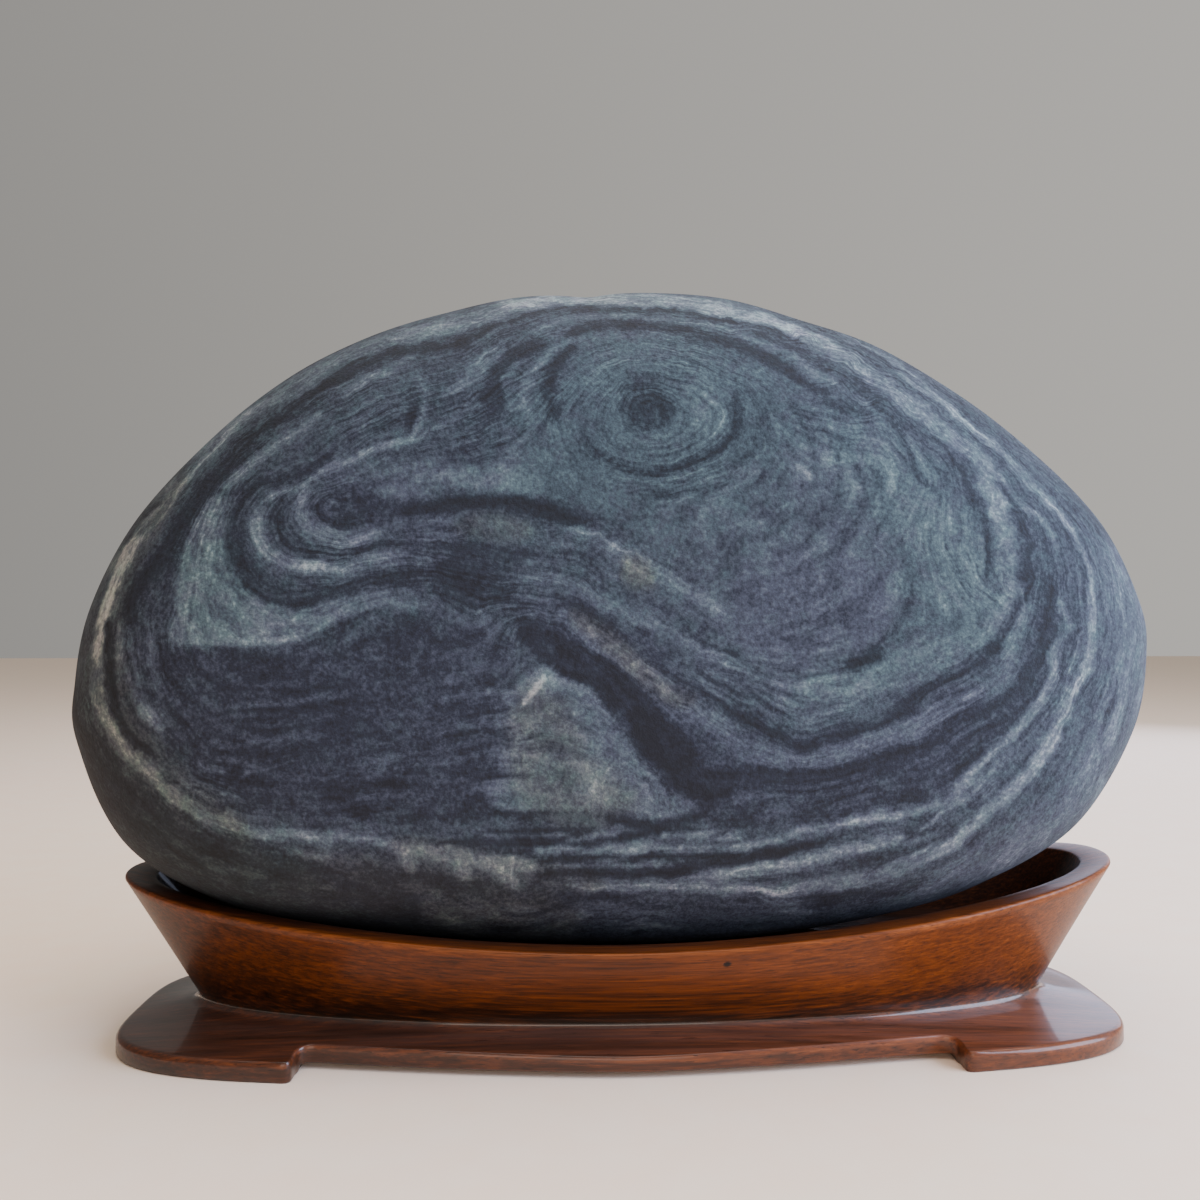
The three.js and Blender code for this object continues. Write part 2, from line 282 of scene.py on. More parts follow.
# %% The left rim and the loops: name, tone, width, points along the stroke
LEFT = [
    ("left rim", 0.52, 16, [(99, 668), (100, 645), (103, 622), (109, 598), (124, 560), (140, 538),
        (157, 515), (176, 487), (198, 461), (220, 437), (243, 415), (272, 397), (303, 380), (335, 362),
        (375, 343), (420, 328), (460, 316)]),
    ("left rim, low", 0.86, 12, [(99, 668), (100, 645), (103, 622), (109, 598), (124, 560), (140, 538)]),
    # Painted shade along the left edge, where the stone turns away from the light.
    ("left rim edge", 0.13, 8, [(80, 640), (84, 612), (92, 586), (107, 553), (133, 516), (155, 487),
        (176, 459), (200, 434), (228, 409), (258, 388)]),
    ("left rim shade", 0.12, 18, [(128, 620), (134, 592), (150, 572), (168, 545), (187, 516), (207, 490),
        (229, 462), (252, 436)]),
    ("left rim shade upper", 0.09, 10, [(252, 438), (285, 412), (310, 396), (345, 374), (385, 356),
        (430, 348), (470, 345)]),
    ("upper left grey", 0.34, 26, [(290, 450), (330, 420), (370, 395), (410, 375)]),
    ("upper left thread", 0.6, 8, [(226, 488), (244, 470), (262, 455), (282, 441), (302, 427), (322, 412)]),
    ("upper left thread end", 0.48, 7, [(345, 392), (370, 380), (395, 365), (420, 352)]),
    ("upper left knot", 0.09, 16, [(432, 398), (414, 415), (420, 440)]),
    ("upper left plume", 0.52, 8, [(418, 372), (426, 395), (420, 420), (412, 436)]),
    ("left shore pale", 0.54, 24, [(222, 505), (206, 540), (198, 580), (205, 620)]),
    ("left shore pale foot", 0.55, 30, [(188, 634), (225, 632), (270, 632), (300, 625)]),
    ("left shore pale run", 0.5, 22, [(240, 594), (262, 612), (300, 617), (340, 606), (372, 598),
        (410, 600)]),
    ("outer dark loop top", 0.12, 11, [(232, 512), (248, 494), (272, 481), (305, 470), (330, 455)]),
    ("outer dark loop", 0.14, 15, [(232, 512), (232, 545), (242, 574), (262, 592), (300, 600), (345, 588),
        (390, 578), (440, 575)]),
    ("outer pale loop", 0.6, 16, [(262, 510), (258, 530), (266, 552), (290, 562), (330, 566), (365, 560),
        (400, 556)]),
    ("outer pale loop top", 0.6, 6, [(264, 505), (276, 494), (296, 487), (312, 478)]),
    ("thin dark loop", 0.14, 8, [(284, 500), (276, 518), (284, 540), (305, 551), (340, 556), (375, 548),
        (410, 543)]),
    ("inner pale loop", 0.58, 13, [(306, 484), (301, 505), (306, 524), (325, 535), (350, 539), (378, 535)]),
    ("inner pale loop top", 0.66, 8, [(312, 478), (330, 468), (348, 460), (368, 450), (392, 444),
        (420, 436)]),
    ("loop heart", 0.2, 30, [(328, 498), (350, 508), (395, 508)]),
    ("loop heart roof", 0.36, 18, [(345, 478), (375, 470), (400, 462)]),
    ("pale run above the crest", 0.46, 30, [(384, 484), (420, 478), (460, 472), (500, 478), (540, 486)]),
    ("run end", 0.32, 9, [(385, 530), (420, 526), (452, 526)]),
    ("dark slope left of the crest", 0.08, 46, [(440, 565), (470, 580), (505, 590)]),
    ("thread below the loops", 0.36, 5, [(390, 562), (420, 562), (446, 556)]),
    ("thread rising", 0.4, 5, [(404, 590), (418, 604), (432, 612)]),
    ("shore sheen", 0.3, 26, [(450, 630), (480, 622), (510, 620)]),
]
print(len(LEFT), "strokes at the left")

# %% The top and the moon
MOON = [
    ("arch pale cloud", 0.48, 9, [(530, 424), (524, 402), (530, 382)]),
    ("top left pale rim", 0.58, 15, [(395, 342), (425, 334), (450, 326), (480, 316), (515, 304)]),
    ("top rim", 0.74, 15, [(500, 304), (560, 300), (600, 299), (640, 299), (680, 303), (720, 309),
        (760, 319), (800, 334), (840, 353)]),
    ("top dark line", 0.11, 4, [(440, 350), (460, 343), (480, 333), (500, 324), (520, 318), (540, 313),
        (560, 311), (600, 310), (640, 309), (680, 312), (700, 315), (740, 322), (780, 335), (800, 343),
        (840, 362), (862, 376)]),
    ("top pale thread", 0.52, 5, [(500, 350), (512, 344), (530, 335), (545, 328), (560, 321), (600, 316),
        (640, 316), (680, 321), (720, 327), (742, 334), (762, 343), (782, 353), (802, 363), (822, 375),
        (845, 388), (868, 404)]),
    ("top dark band", 0.1, 12, [(566, 342), (582, 328), (620, 325), (660, 329), (700, 336), (740, 347),
        (762, 357), (782, 368), (802, 381), (822, 394)]),
    ("top dark spots", 0.2, 9, [(820, 396), (836, 404), (850, 408)]),
    ("arch", 0.11, 13, [(556, 418), (548, 398), (550, 376), (560, 358), (576, 346)]),
    ("arch pale thread", 0.52, 4, [(520, 384), (532, 372), (541, 362), (551, 352), (562, 345), (576, 340),
        (588, 333)]),
    ("white vein", 0.66, 3, [(408, 441), (430, 430), (450, 422), (462, 417)]),
    ("white vein 2", 0.54, 3, [(478, 409), (500, 400), (518, 391), (540, 379)]),
    ("eye upper light", 0.42, 36, [(596, 366), (640, 352), (690, 350)]),
    ("eye right light", 0.48, 36, [(700, 372), (712, 410), (704, 436)]),
    ("eye lilac", 0.46, 16, [(632, 444), (655, 450), (684, 442)]),
    ("eye ring", 0.09, 6, [(583, 428), (590, 445), (600, 457), (612, 464), (630, 472), (650, 474),
        (670, 470), (690, 465)]),
    ("eye inner ring", 0.27, 5, [(676, 398), (673, 418), (655, 432), (632, 428), (619, 408), (628, 388),
        (650, 380), (668, 388)]),
    ("eye outer ring", 0.34, 4, [(560, 400), (564, 440), (586, 472), (620, 490), (660, 494), (700, 486)]),
    ("eye ring, right", 0.13, 8, [(688, 466), (702, 459), (716, 451), (730, 440), (738, 420), (736, 398)]),
    # A chip, with its glint painted in as a pale fleck: a painted highlight.
    ("speckle", 0.78, 8, [(800, 466), (805, 474), (812, 478)]),
    ("speckle ring", 0.6, 4, [(822, 440), (832, 444), (835, 455), (826, 462), (818, 452)]),
    ("speckle ring 2", 0.56, 5, [(800, 448), (812, 442)]),
]
print(len(MOON), "strokes at the top")

# %% The bands that run down the right side
RIGHT = [
    ("right dark band", 0.21, 10, [(755, 333), (800, 352), (830, 367), (862, 386), (890, 405), (915, 425),
        (934, 438), (950, 452), (960, 466), (967, 482), (974, 498), (981, 514), (987, 532), (989, 556),
        (987, 577)]),
    ("inner arc pale", 0.56, 6, [(800, 366), (840, 386), (870, 406), (890, 423), (905, 438)]),
    ("inner arc dark", 0.15, 4, [(836, 380), (868, 400), (885, 416), (900, 436), (912, 460), (921, 480),
        (934, 492)]),
    ("inner arc dark 2", 0.26, 4, [(925, 450), (935, 466), (946, 490)]),
    ("inner arc pale 2", 0.6, 4, [(905, 440), (922, 462), (932, 480)]),
    ("rim thread", 0.6, 4, [(840, 336), (880, 352), (910, 372), (940, 398), (958, 412)]),
    ("right broad pale", 0.58, 19, [(806, 340), (842, 357), (872, 377), (902, 400), (926, 418), (948, 434),
        (966, 446), (982, 460), (992, 476), (999, 500), (1004, 526), (1008, 560), (1008, 590),
        (1000, 622)]),
    ("right broad pale heart", 0.66, 22, [(984, 478), (994, 500), (1000, 516)]),
    ("right dark thread", 0.28, 5, [(900, 378), (924, 396), (944, 411), (962, 428), (980, 442), (994, 456),
        (1010, 474), (1022, 488), (1034, 503), (1045, 517), (1053, 529), (1060, 544), (1067, 558),
        (1072, 574), (1076, 600), (1076, 638), (1071, 659), (1063, 676), (1058, 690), (1048, 705),
        (1037, 720), (1026, 733), (1014, 746), (1001, 759), (984, 774), (970, 787), (955, 801), (937, 813),
        (915, 827), (890, 839)]),
    ("right thread outer", 0.68, 6, [(898, 372), (920, 388), (941, 401), (957, 414), (975, 430), (991, 443),
        (1005, 456), (1017, 469), (1030, 482), (1042, 493), (1052, 505), (1062, 517), (1071, 529),
        (1078, 542), (1083, 555), (1088, 568), (1092, 585), (1092, 606)]),
    ("right thread inner", 0.6, 4, [(1002, 481), (1019, 502), (1037, 518), (1051, 533), (1058, 550)]),
    ("right dark 2", 0.14, 6, [(995, 480), (1009, 497), (1018, 511), (1023, 526), (1026, 542), (1029, 558),
        (1030, 576), (1027, 592), (1020, 607), (1013, 621), (1006, 634)]),
    ("right dark blob", 0.09, 15, [(1000, 642), (990, 654)]),
    ("right dark 3", 0.15, 14, [(1047, 578), (1049, 606), (1046, 632), (1039, 655), (1029, 674),
        (1020, 688), (1000, 700), (978, 712), (955, 723), (932, 742), (905, 755)]),
    ("right pale 3", 0.54, 13, [(1028, 604), (1020, 630), (1010, 652), (1006, 672), (990, 690), (964, 702),
        (948, 712), (930, 722), (905, 737)]),
    ("trough dark rising", 0.11, 13, [(870, 730), (898, 712), (920, 694), (940, 681), (962, 671),
        (984, 660)]),
    ("right low pale", 0.62, 9, [(1062, 600), (1066, 625), (1059, 643), (1054, 659), (1053, 674),
        (1044, 694), (1035, 710), (1022, 722), (1010, 735), (1001, 746), (987, 758), (974, 769), (964, 785),
        (951, 799), (925, 808), (895, 815), (850, 824), (800, 831)]),
    ("right hairline", 0.66, 3, [(1080, 622), (1078, 651), (1069, 676), (1060, 697), (1047, 715),
        (1034, 731), (1021, 744), (1004, 761), (986, 778), (966, 797), (945, 812), (918, 829)]),
    ("right hairline 2", 0.26, 3, [(1083, 633), (1076, 666), (1066, 689), (1055, 707), (1044, 722),
        (1032, 735), (1012, 757), (996, 775), (985, 790), (972, 803), (955, 813)]),
    ("right grey pocket", 0.36, 16, [(1040, 735), (1020, 752), (998, 780), (985, 796)]),
    ("right thread outer, low", 0.7, 13, [(1092, 600), (1092, 638), (1089, 659), (1083, 674), (1073, 690),
        (1066, 708), (1059, 723), (1053, 739), (1043, 754), (1033, 768), (1021, 780), (1010, 794),
        (1000, 802), (984, 814), (969, 825), (955, 838), (938, 850), (913, 861), (890, 868)]),
    ("right wide spot", 0.7, 17, [(1054, 736), (1046, 752), (1038, 766)]),
    ("right low dark thread", 0.3, 3, [(905, 850), (938, 831), (966, 817), (984, 803), (1000, 790)]),
    ("right low dark thread 2", 0.3, 3, [(880, 872), (905, 863), (925, 855), (946, 838), (964, 825),
        (980, 812)]),
    ("right flank shade", 0.38, 14, [(1078, 700), (1074, 735), (1066, 770)]),
    ("right rim shade", 0.38, 4, [(1080, 521), (1089, 544), (1098, 575), (1101, 600)]),
]
print(len(RIGHT), "strokes at the right")

# %% The slope that sweeps down from the crest into the trough
SLOPE = [
    ("outer arch", 0.12, 24, [(496, 440), (492, 404), (498, 376), (515, 356), (540, 340)]),
    ("outer arch pale", 0.5, 14, [(442, 398), (466, 382), (480, 364), (500, 350)]),
    ("outer arch pale 2", 0.42, 8, [(505, 385), (512, 368), (525, 360)]),
    ("left of the eye", 0.3, 24, [(450, 432), (480, 430), (505, 425)]),
    ("dusk above the crest", 0.26, 20, [(445, 455), (480, 452), (500, 448)]),
    ("eye left", 0.37, 34, [(586, 395), (582, 425)]),
    ("eye lower", 0.38, 26, [(620, 450), (650, 452), (685, 440)]),
    ("eye ring 2", 0.26, 7, [(752, 395), (760, 425), (752, 452), (735, 470)]),
    ("eye ring 3", 0.34, 5, [(560, 455), (590, 482), (640, 494), (700, 488), (745, 474)]),
    ("crest dark", 0.04, 15, [(398, 512), (440, 505), (480, 501), (520, 503), (546, 509), (566, 517),
        (586, 524)]),
    ("crest dark tail", 0.33, 4, [(586, 524), (620, 538), (660, 556), (700, 578)]),
    ("crest pale", 0.4, 16, [(470, 522), (510, 526), (545, 538), (570, 548)]),
    ("crest pale run", 0.54, 16, [(570, 528), (604, 540), (645, 566), (685, 590), (725, 612)]),
    ("second dark", 0.1, 12, [(430, 547), (470, 549), (500, 553), (526, 558)]),
    ("second dark, faded", 0.31, 5, [(526, 558), (560, 566), (600, 582), (636, 600)]),
    ("second streak", 0.24, 3, [(500, 582), (540, 588), (580, 600), (610, 614)]),
    ("tan patch", 0.52, 18, [(628, 562), (640, 572), (646, 584)]),
    ("second dark tail", 0.11, 7, [(600, 598), (624, 606), (646, 617), (669, 628), (697, 642), (724, 651),
        (744, 657)]),
    ("second pale", 0.47, 13, [(524, 578), (564, 582), (604, 602), (642, 616), (684, 642), (724, 662),
        (762, 684), (800, 700), (845, 702)]),
    ("third dark", 0.12, 8, [(560, 604), (585, 610), (604, 622), (624, 637)]),
    ("trough dark", 0.08, 13, [(624, 637), (640, 655), (669, 674), (697, 694), (722, 706), (748, 718),
        (775, 735), (797, 747), (822, 742), (845, 735), (868, 727)]),
    ("trough pale", 0.46, 19, [(560, 612), (591, 635), (624, 656), (665, 688), (697, 711), (734, 738),
        (772, 757), (806, 762), (842, 754), (872, 742), (904, 728), (936, 714), (966, 700)]),
    ("pale knots", 0.62, 9, [(586, 630), (594, 636)]),
    ("pale knots 2", 0.58, 10, [(658, 686), (668, 694)]),
    ("deep band", 0.01, 36, [(524, 626), (555, 649), (578, 664), (601, 678), (624, 699), (640, 714),
        (662, 728)]),
    ("deep band lower", 0.01, 42, [(636, 722), (660, 744), (690, 766)]),
    ("deep band foot", 0.07, 22, [(668, 776), (700, 790), (730, 786)]),
    ("deep band run", 0.06, 14, [(700, 772), (760, 774), (820, 774), (870, 764), (910, 748)]),
]
print(len(SLOPE), "strokes of the slope")

# %% The pale peak, and the lines under it
PEAK = [
    ("white streak", 0.92, 4.5, [(521, 708), (530, 697), (540, 686), (547, 676)]),
    ("mountain glint", 0.66, 4, [(604, 764), (610, 772), (616, 780)]),
    ("mountain notch", 0.14, 5, [(486, 775), (510, 775), (542, 777)]),
    ("mountain heart", 0.47, 26, [(548, 692), (556, 716), (566, 738)]),
    ("mountain left shade", 0.34, 16, [(488, 690), (500, 706), (502, 722)]),
    ("mountain pale foot", 0.45, 8, [(500, 800), (560, 800), (620, 803), (676, 808)]),
    ("mountain hollow", 0.4, 10, [(540, 756), (566, 762)]),
    ("mountain foot shade", 0.42, 10, [(560, 800), (600, 806)]),
    ("pale spit", 0.4, 8, [(472, 786), (492, 788)]),
    ("under the mountain", 0.05, 5, [(498, 813), (524, 814), (551, 812)]),
    ("under the mountain, right", 0.04, 8, [(606, 818), (650, 824), (690, 820), (716, 808)]),
    ("under line", 0.07, 5, [(487, 831), (540, 832), (592, 831)]),
    ("under dark 1", 0.02, 8, [(430, 846), (470, 842), (540, 843), (600, 842), (640, 832), (700, 828)]),
    ("under pale 1", 0.58, 4, [(540, 837), (580, 837), (615, 834)]),
    ("under dark 2", 0.02, 7, [(446, 848), (500, 850), (537, 856)]),
    ("under pale 2", 0.56, 5, [(660, 836), (700, 836), (742, 838)]),
    ("under pale 3", 0.62, 8, [(537, 850), (600, 849), (642, 848), (700, 850), (742, 848), (780, 838),
        (806, 830)]),
    ("under dark 3", 0.03, 6, [(520, 862), (580, 858), (650, 858), (700, 857), (742, 854)]),
    ("under pale 4", 0.58, 4, [(545, 866), (600, 864), (650, 864), (700, 862)]),
    ("under dark 4", 0.01, 9, [(530, 872), (580, 872), (640, 873), (690, 869), (732, 862), (762, 854),
        (802, 849), (832, 841)]),
    ("under pale 5", 0.66, 12, [(690, 878), (750, 869), (802, 862), (842, 852), (872, 844), (904, 834)]),
    ("foot pale", 0.61, 11, [(574, 886), (620, 887), (662, 887), (702, 887), (742, 890), (782, 891),
        (822, 886), (862, 879), (892, 870), (932, 857), (962, 843)]),
    ("foot hairline", 0.2, 2.5, [(640, 893), (700, 894), (760, 897)]),
]
print(len(PEAK), "strokes of the peak")

# %% Drips of the shore, the hook, and thin arcs round the moon
ARCS = [
    ("shore pale, left", 0.58, 19, [(398, 850), (430, 852), (468, 858), (506, 863), (538, 868)]),
    ("shore drips", 0.58, 13, [(402, 854), (410, 870)]),
    ("shore drips 2", 0.56, 13, [(456, 864), (468, 880)]),
    ("shore drips 3", 0.58, 14, [(498, 868), (516, 884)]),
    ("hook", 0.2, 7, [(899, 540), (906, 556), (913, 574), (914, 596), (904, 614), (890, 630), (876, 644)]),
    ("hook foot", 0.1, 20, [(880, 650), (862, 662), (846, 668)]),
    ("hook stem", 0.25, 8, [(846, 516), (844, 536), (831, 553), (822, 563)]),
    ("hook stem 2", 0.34, 8, [(866, 544), (876, 560)]),
    ("hollow arc", 0.32, 6, [(742, 606), (780, 600), (822, 594), (850, 580)]),
    ("hollow arc 2", 0.33, 5, [(752, 632), (800, 626), (850, 612)]),
    ("hollow scribble", 0.28, 8, [(752, 674), (764, 682), (774, 690)]),
    ("eye ring 4", 0.29, 6, [(790, 400), (812, 440), (815, 480), (795, 515), (760, 540)]),
    ("eye ring 5", 0.29, 6, [(832, 425), (858, 465), (862, 505), (842, 545), (800, 570)]),
    ("eye arc", 0.3, 4, [(770, 398), (788, 436), (786, 470), (764, 500), (730, 520)]),
    ("eye arc 2", 0.5, 4, [(780, 392), (800, 432), (800, 474), (780, 508), (746, 530)]),
    ("eye arc 3", 0.31, 4, [(812, 410), (836, 452), (840, 492), (820, 528), (780, 556)]),
    ("eye arc 4", 0.5, 4, [(822, 412), (848, 456), (851, 500), (832, 536), (792, 562)]),
    ("eye arc 5", 0.33, 4, [(858, 440), (880, 482), (882, 520), (866, 545)]),
    ("below the eye", 0.32, 4, [(560, 500), (620, 515), (690, 520), (740, 512)]),
    ("below the eye 2", 0.33, 4, [(600, 534), (660, 545), (720, 545), (770, 530)]),
    ("teal run", 0.52, 20, [(800, 694), (850, 692), (902, 678), (942, 658), (982, 636), (1000, 610)]),
]
print(len(ARCS), "strokes between the others")

# %% The low left end and the dark shore
SHORE = [
    ("left low pale", 0.64, 16, [(100, 660), (99, 690), (106, 716), (118, 738), (136, 758), (156, 776),
        (172, 790), (188, 804), (208, 815), (236, 826), (266, 833)]),
    ("left low bright", 0.66, 7, [(130, 754), (138, 762)]),
    ("left low bright 2", 0.62, 9, [(162, 782), (176, 796), (196, 810)]),
    ("left thread", 0.62, 2.5, [(118, 622), (119, 645), (122, 662), (128, 680), (138, 702)]),
    ("left patch", 0.6, 12, [(142, 706), (153, 718), (164, 732)]),
    ("left low shade", 0.07, 10, [(108, 620), (110, 680), (124, 728), (150, 757)]),
    ("left low thread", 0.58, 3, [(150, 757), (170, 770), (190, 784), (206, 796)]),
    ("left low thread 2", 0.56, 5, [(190, 765), (206, 767), (226, 773)]),
    ("left low thread 3", 0.52, 3, [(200, 805), (232, 813), (262, 818)]),
    ("left low dark thread", 0.09, 3, [(160, 776), (182, 785), (202, 800)]),
    ("shore patch", 0.6, 12, [(262, 834), (292, 833), (320, 836), (348, 834)]),
    ("shore patch drip", 0.52, 10, [(318, 840), (330, 852)]),
    ("shore patch 2", 0.5, 6, [(280, 850), (312, 856), (330, 860)]),
    ("shore patch 3", 0.56, 9, [(348, 838), (372, 840), (400, 848)]),
    ("shore streak", 0.05, 3, [(214, 688), (300, 692), (360, 683)]),
    ("shore streak 2", 0.05, 3, [(222, 712), (290, 708), (350, 702)]),
    ("shore streak 4", 0.07, 3, [(205, 674), (260, 677), (330, 671)]),
    ("shore streak 5", 0.08, 3, [(232, 728), (300, 727), (390, 712)]),
    ("shore streak 6", 0.09, 3, [(210, 700), (260, 700), (310, 697)]),
    ("shore streak 7", 0.09, 3, [(250, 748), (320, 744), (380, 732)]),
    ("shore gleam", 0.36, 4, [(226, 705), (290, 702), (340, 697)]),
    ("shore gleam 2", 0.34, 5, [(210, 740), (260, 738), (320, 735)]),
    ("shore gleam 3", 0.34, 5, [(280, 780), (350, 772), (420, 752)]),
    ("shore gleam 4", 0.34, 5, [(330, 655), (380, 650), (430, 643)]),
    ("shore streak 3", 0.34, 4, [(380, 745), (420, 732), (442, 722)]),
    ("shore sheen 2", 0.28, 26, [(320, 672), (370, 666), (430, 655)]),
    ("white dot", 0.9, 5, [(246, 771), (250, 775)]),
    # Painted shade along the lower left edge.
    ("left edge", 0.09, 22, [(70, 640), (66, 690), (72, 740), (95, 800), (118, 850)]),
]
print(len(SHORE), "strokes of the shore")


# %% Distances on the sheet
def nearest(x, y, line):
    """Distance to a line of points, and how far along it the nearest place is, from 0 to 1."""
    walked = np.r_[0, np.cumsum(np.hypot(*np.diff(line, axis=0).T))] + 1e-9
    best, place = np.full(x.shape, 1e9), np.zeros(x.shape)
    for a, b, start, end in zip(line, line[1:], walked, walked[1:]):
        d = b - a
        f = np.clip(((x - a[0]) * d[0] + (y - a[1]) * d[1]) / max(d @ d, 1e-9), 0, 1)
        away = np.hypot(x - a[0] - f * d[0], y - a[1] - f * d[1])
        closer = away < best
        best[closer] = away[closer]
        place[closer] = ((start + (end - start) * f) / walked[-1])[closer]
    return best, place


def within(x, y, line):
    """Whether each place is inside a closed line, by counting the sides it would cross going right."""
    odd = np.zeros(x.shape, bool)
    for a, b in zip(line, np.roll(line, -1, axis=0)):
        if a[1] != b[1]:
            crosses = (a[1] > y) != (b[1] > y)
            odd ^= crosses & (x < (b[0] - a[0]) * (y - a[1]) / (b[1] - a[1]) + a[0])
    return odd


upright = np.array([(3.0, -4.0), (3.0, 4.0)])
print("a line 3 units to the right is", nearest(np.zeros(1), np.zeros(1), upright)[0][0], "units away")

# %% [markdown]
# ### Edges that wander
#
# A layer that wears away never leaves a ruled line. So each point is painted as if it lay a few units
# off, by lumps of 7, 3 and 1.5 mm, and strokes fade here and there, where the layer was thin. The
# lumps are solid ones, so that an edge stays as fine where the stone turns away from the eye.

# %% Where each point is painted
position = stone_points[:, 0] + 300, stone_points[:, 1] + 300, stone_points[:, 2]
behind = smoothstep(5, 55, stone_points[:, 1])
# The back's pattern drifts much further, so that it is no mirror image.
BACK_DRIFT, BACK_LUMP = 150, 260
wander_x, wander_y = [
    sum(amount * lattice_noise(lump, seed + i, *position)
        for i, (amount, lump) in enumerate(((5, 7), (3, 3), (2.2, 1.5))))
    + behind * BACK_DRIFT * lattice_noise(BACK_LUMP, seed + 5, sheet_x, sheet_y)
    for seed in (10, 20)
]
paint_x, paint_y = sheet_x + wander_x, sheet_y + wander_y
# worn is 1 where a stroke keeps its full strength.
worn = 0.97 + 0.7 * lattice_noise(4, 31, *position) + 0.5 * lattice_noise(11, 32, *position)
worn = np.clip(worn, 0.4, 1)
print("edges on the front wander by up to", round(float(np.abs(wander_x[behind == 0]).max()), 1), "units")


# %% Paint the areas and strokes onto the points
def lay(values, here, value, depth, edge_width, strength=1):
    """Blends the value in where depth is below 0, over an edge of about this width."""
    cover = strength / (1 + np.exp(np.clip(depth / edge_width, -30, 30)))
    values[here] = values[here] * (1 - cover) + value * cover


def near(line, reach):
    """The points in a box around the line, with this much room. No others need to be measured."""
    low, high = line.min(0) - reach, line.max(0) + reach
    return (paint_x > low[0]) & (paint_x < high[0]) & (paint_y > low[1]) & (paint_y < high[1])


def stroke(values, value, width, points):
    """A band along the points. It is narrower at its ends and fades where the layer is worn."""
    line = through(points, 6)
    here = near(line, width * 1.3 + 8)
    away, place = nearest(paint_x[here], paint_y[here], line)
    taper = 0.4 + 0.6 * np.clip(4 * place * (1 - place), 0, 1) ** 0.35
    lay(values, here, value, away - width / 2 * taper, 0.55 + 0.05 * width, worn[here])


def area(values, value, soft, points):
    """A filled shape with a soft edge."""
    line = through(points, 4, closed=True)
    here = near(line, 3 * soft)
    away, place = nearest(paint_x[here], paint_y[here], np.vstack([line, line[:1]]))
    depth = np.where(within(paint_x[here], paint_y[here], line), -away, away)
    lay(values, here, value, depth, 0.35 * soft)


UNPAINTED = 0.28
BEFORE_PEAK, AFTER_PEAK = LEFT + MOON + RIGHT + SLOPE, PEAK + ARCS + SHORE
tone = np.full(len(stone_points), UNPAINTED)
for areas, strokes in ((AREAS, BEFORE_PEAK), (PEAK_AREAS, AFTER_PEAK)):
    for name, value, soft, points in areas:
        area(tone, value, soft, points)
    for name, value, width, points in strokes:
        stroke(tone, value, width, points)
print("tone from", round(float(tone.min()), 2), "to", round(float(tone.max()), 2))

# %% [markdown]
# ### Fine laminations between the bands
#
# Every band is one layer's outcrop, and hair-thin laminations run along inside and between the bands.
# Drawing them one by one would take thousands of strokes. Instead, each band gets its layer's number,
# and a smooth sheet is bent through those numbers, as a thin metal plate would bend. The number at
# any point then says which lamination crops out there, and the shader draws them from that.

# %% Layer numbers of the bands, and of places between them
LAYERS = [
    (("left rim", "left low pale", "shore pale, left", "foot pale", "right thread outer",
      "right thread outer, low", "top rim", "top left pale rim"), 3),
    (("left rim shade", "left rim shade upper", "top dark line", "right dark thread", "under dark 4"), 7),
    (("deep band", "deep band lower", "deep band run", "right dark 3"), 13),
    (("upper left thread", "left shore pale", "trough pale", "right pale 3", "right broad pale",
      "top pale thread"), 17),
    (("outer dark loop top", "outer dark loop", "third dark", "trough dark", "trough dark rising",
      "right dark 2", "right dark band", "top dark band"), 21),
    (("outer pale loop", "outer pale loop top", "second pale", "teal run", "inner arc pale"), 26),
    (("thin dark loop", "second dark", "second dark tail", "hook", "inner arc dark"), 30),
    (("inner pale loop", "crest pale", "crest pale run"), 34),
    (("loop heart", "crest dark", "crest dark tail", "eye ring 3"), 38),
    (("eye ring", "eye ring, right"), 44),
]
LAYERS_BETWEEN = [
    (648, 408, 54), (648, 398, 53), (656, 414, 53), (200, 662, 16), (300, 668, 16), (400, 662, 16),
    (200, 705, 13), (300, 710, 13), (400, 705, 13), (470, 700, 12), (200, 755, 9.5), (300, 757, 9.5),
    (400, 755, 9), (470, 750, 8.5), (250, 800, 6), (350, 805, 5.5), (450, 810, 5), (500, 652, 15),
    (480, 622, 17.5), (540, 712, 10.5), (590, 740, 9.5), (560, 775, 6.8), (640, 790, 7.4),
]
print(len(LAYERS), "layers and", len(LAYERS_BETWEEN), "places between them")

# %% Which layer each point lies in
SAMPLE_EVERY = 45
samples = []
for names, number in LAYERS:
    for name, value, width, points in BEFORE_PEAK + AFTER_PEAK:
        if name in names:
            line = through(points, 6)
            long = np.hypot(*np.diff(line, axis=0).T).sum()
            step = max(1, int(len(line) / (long / SAMPLE_EVERY + 1)))
            samples += [(px, py, number) for px, py in line[::step]]
samples = np.array(samples + LAYERS_BETWEEN)


def bend_kernel(squared):
    """How a thin plate bends around one point, from the squared distance to it."""
    return squared * np.log(squared + 1e-9)


MIDDLE, SPREAD, STIFFNESS = np.array([610, 615]), 400, 0.004
known = (samples[:, :2] - MIDDLE) / SPREAD
pairs = ((known[:, None] - known[None]) ** 2).sum(-1)
flat_part = np.c_[np.ones(len(known)), known]
bending = bend_kernel(pairs) + STIFFNESS * np.eye(len(known))
system = np.block([[bending, flat_part], [flat_part.T, np.zeros((3, 3))]])
weights = np.linalg.solve(system, np.r_[samples[:, 2], 0, 0, 0])
asked = (np.c_[paint_x, paint_y] - MIDDLE) / SPREAD
AT_ONCE = 4000
layer = np.empty(len(asked))
for start in range(0, len(asked), AT_ONCE):
    part = asked[start : start + AT_ONCE]
    squared = ((part[:, None] - known[None]) ** 2).sum(-1)
    layer[start : start + AT_ONCE] = bend_kernel(squared) @ weights[:-3] + weights[-3] + part @ weights[-2:]
print(len(samples), "samples; layers", round(float(layer.min()), 1), "to", round(float(layer.max()), 1))

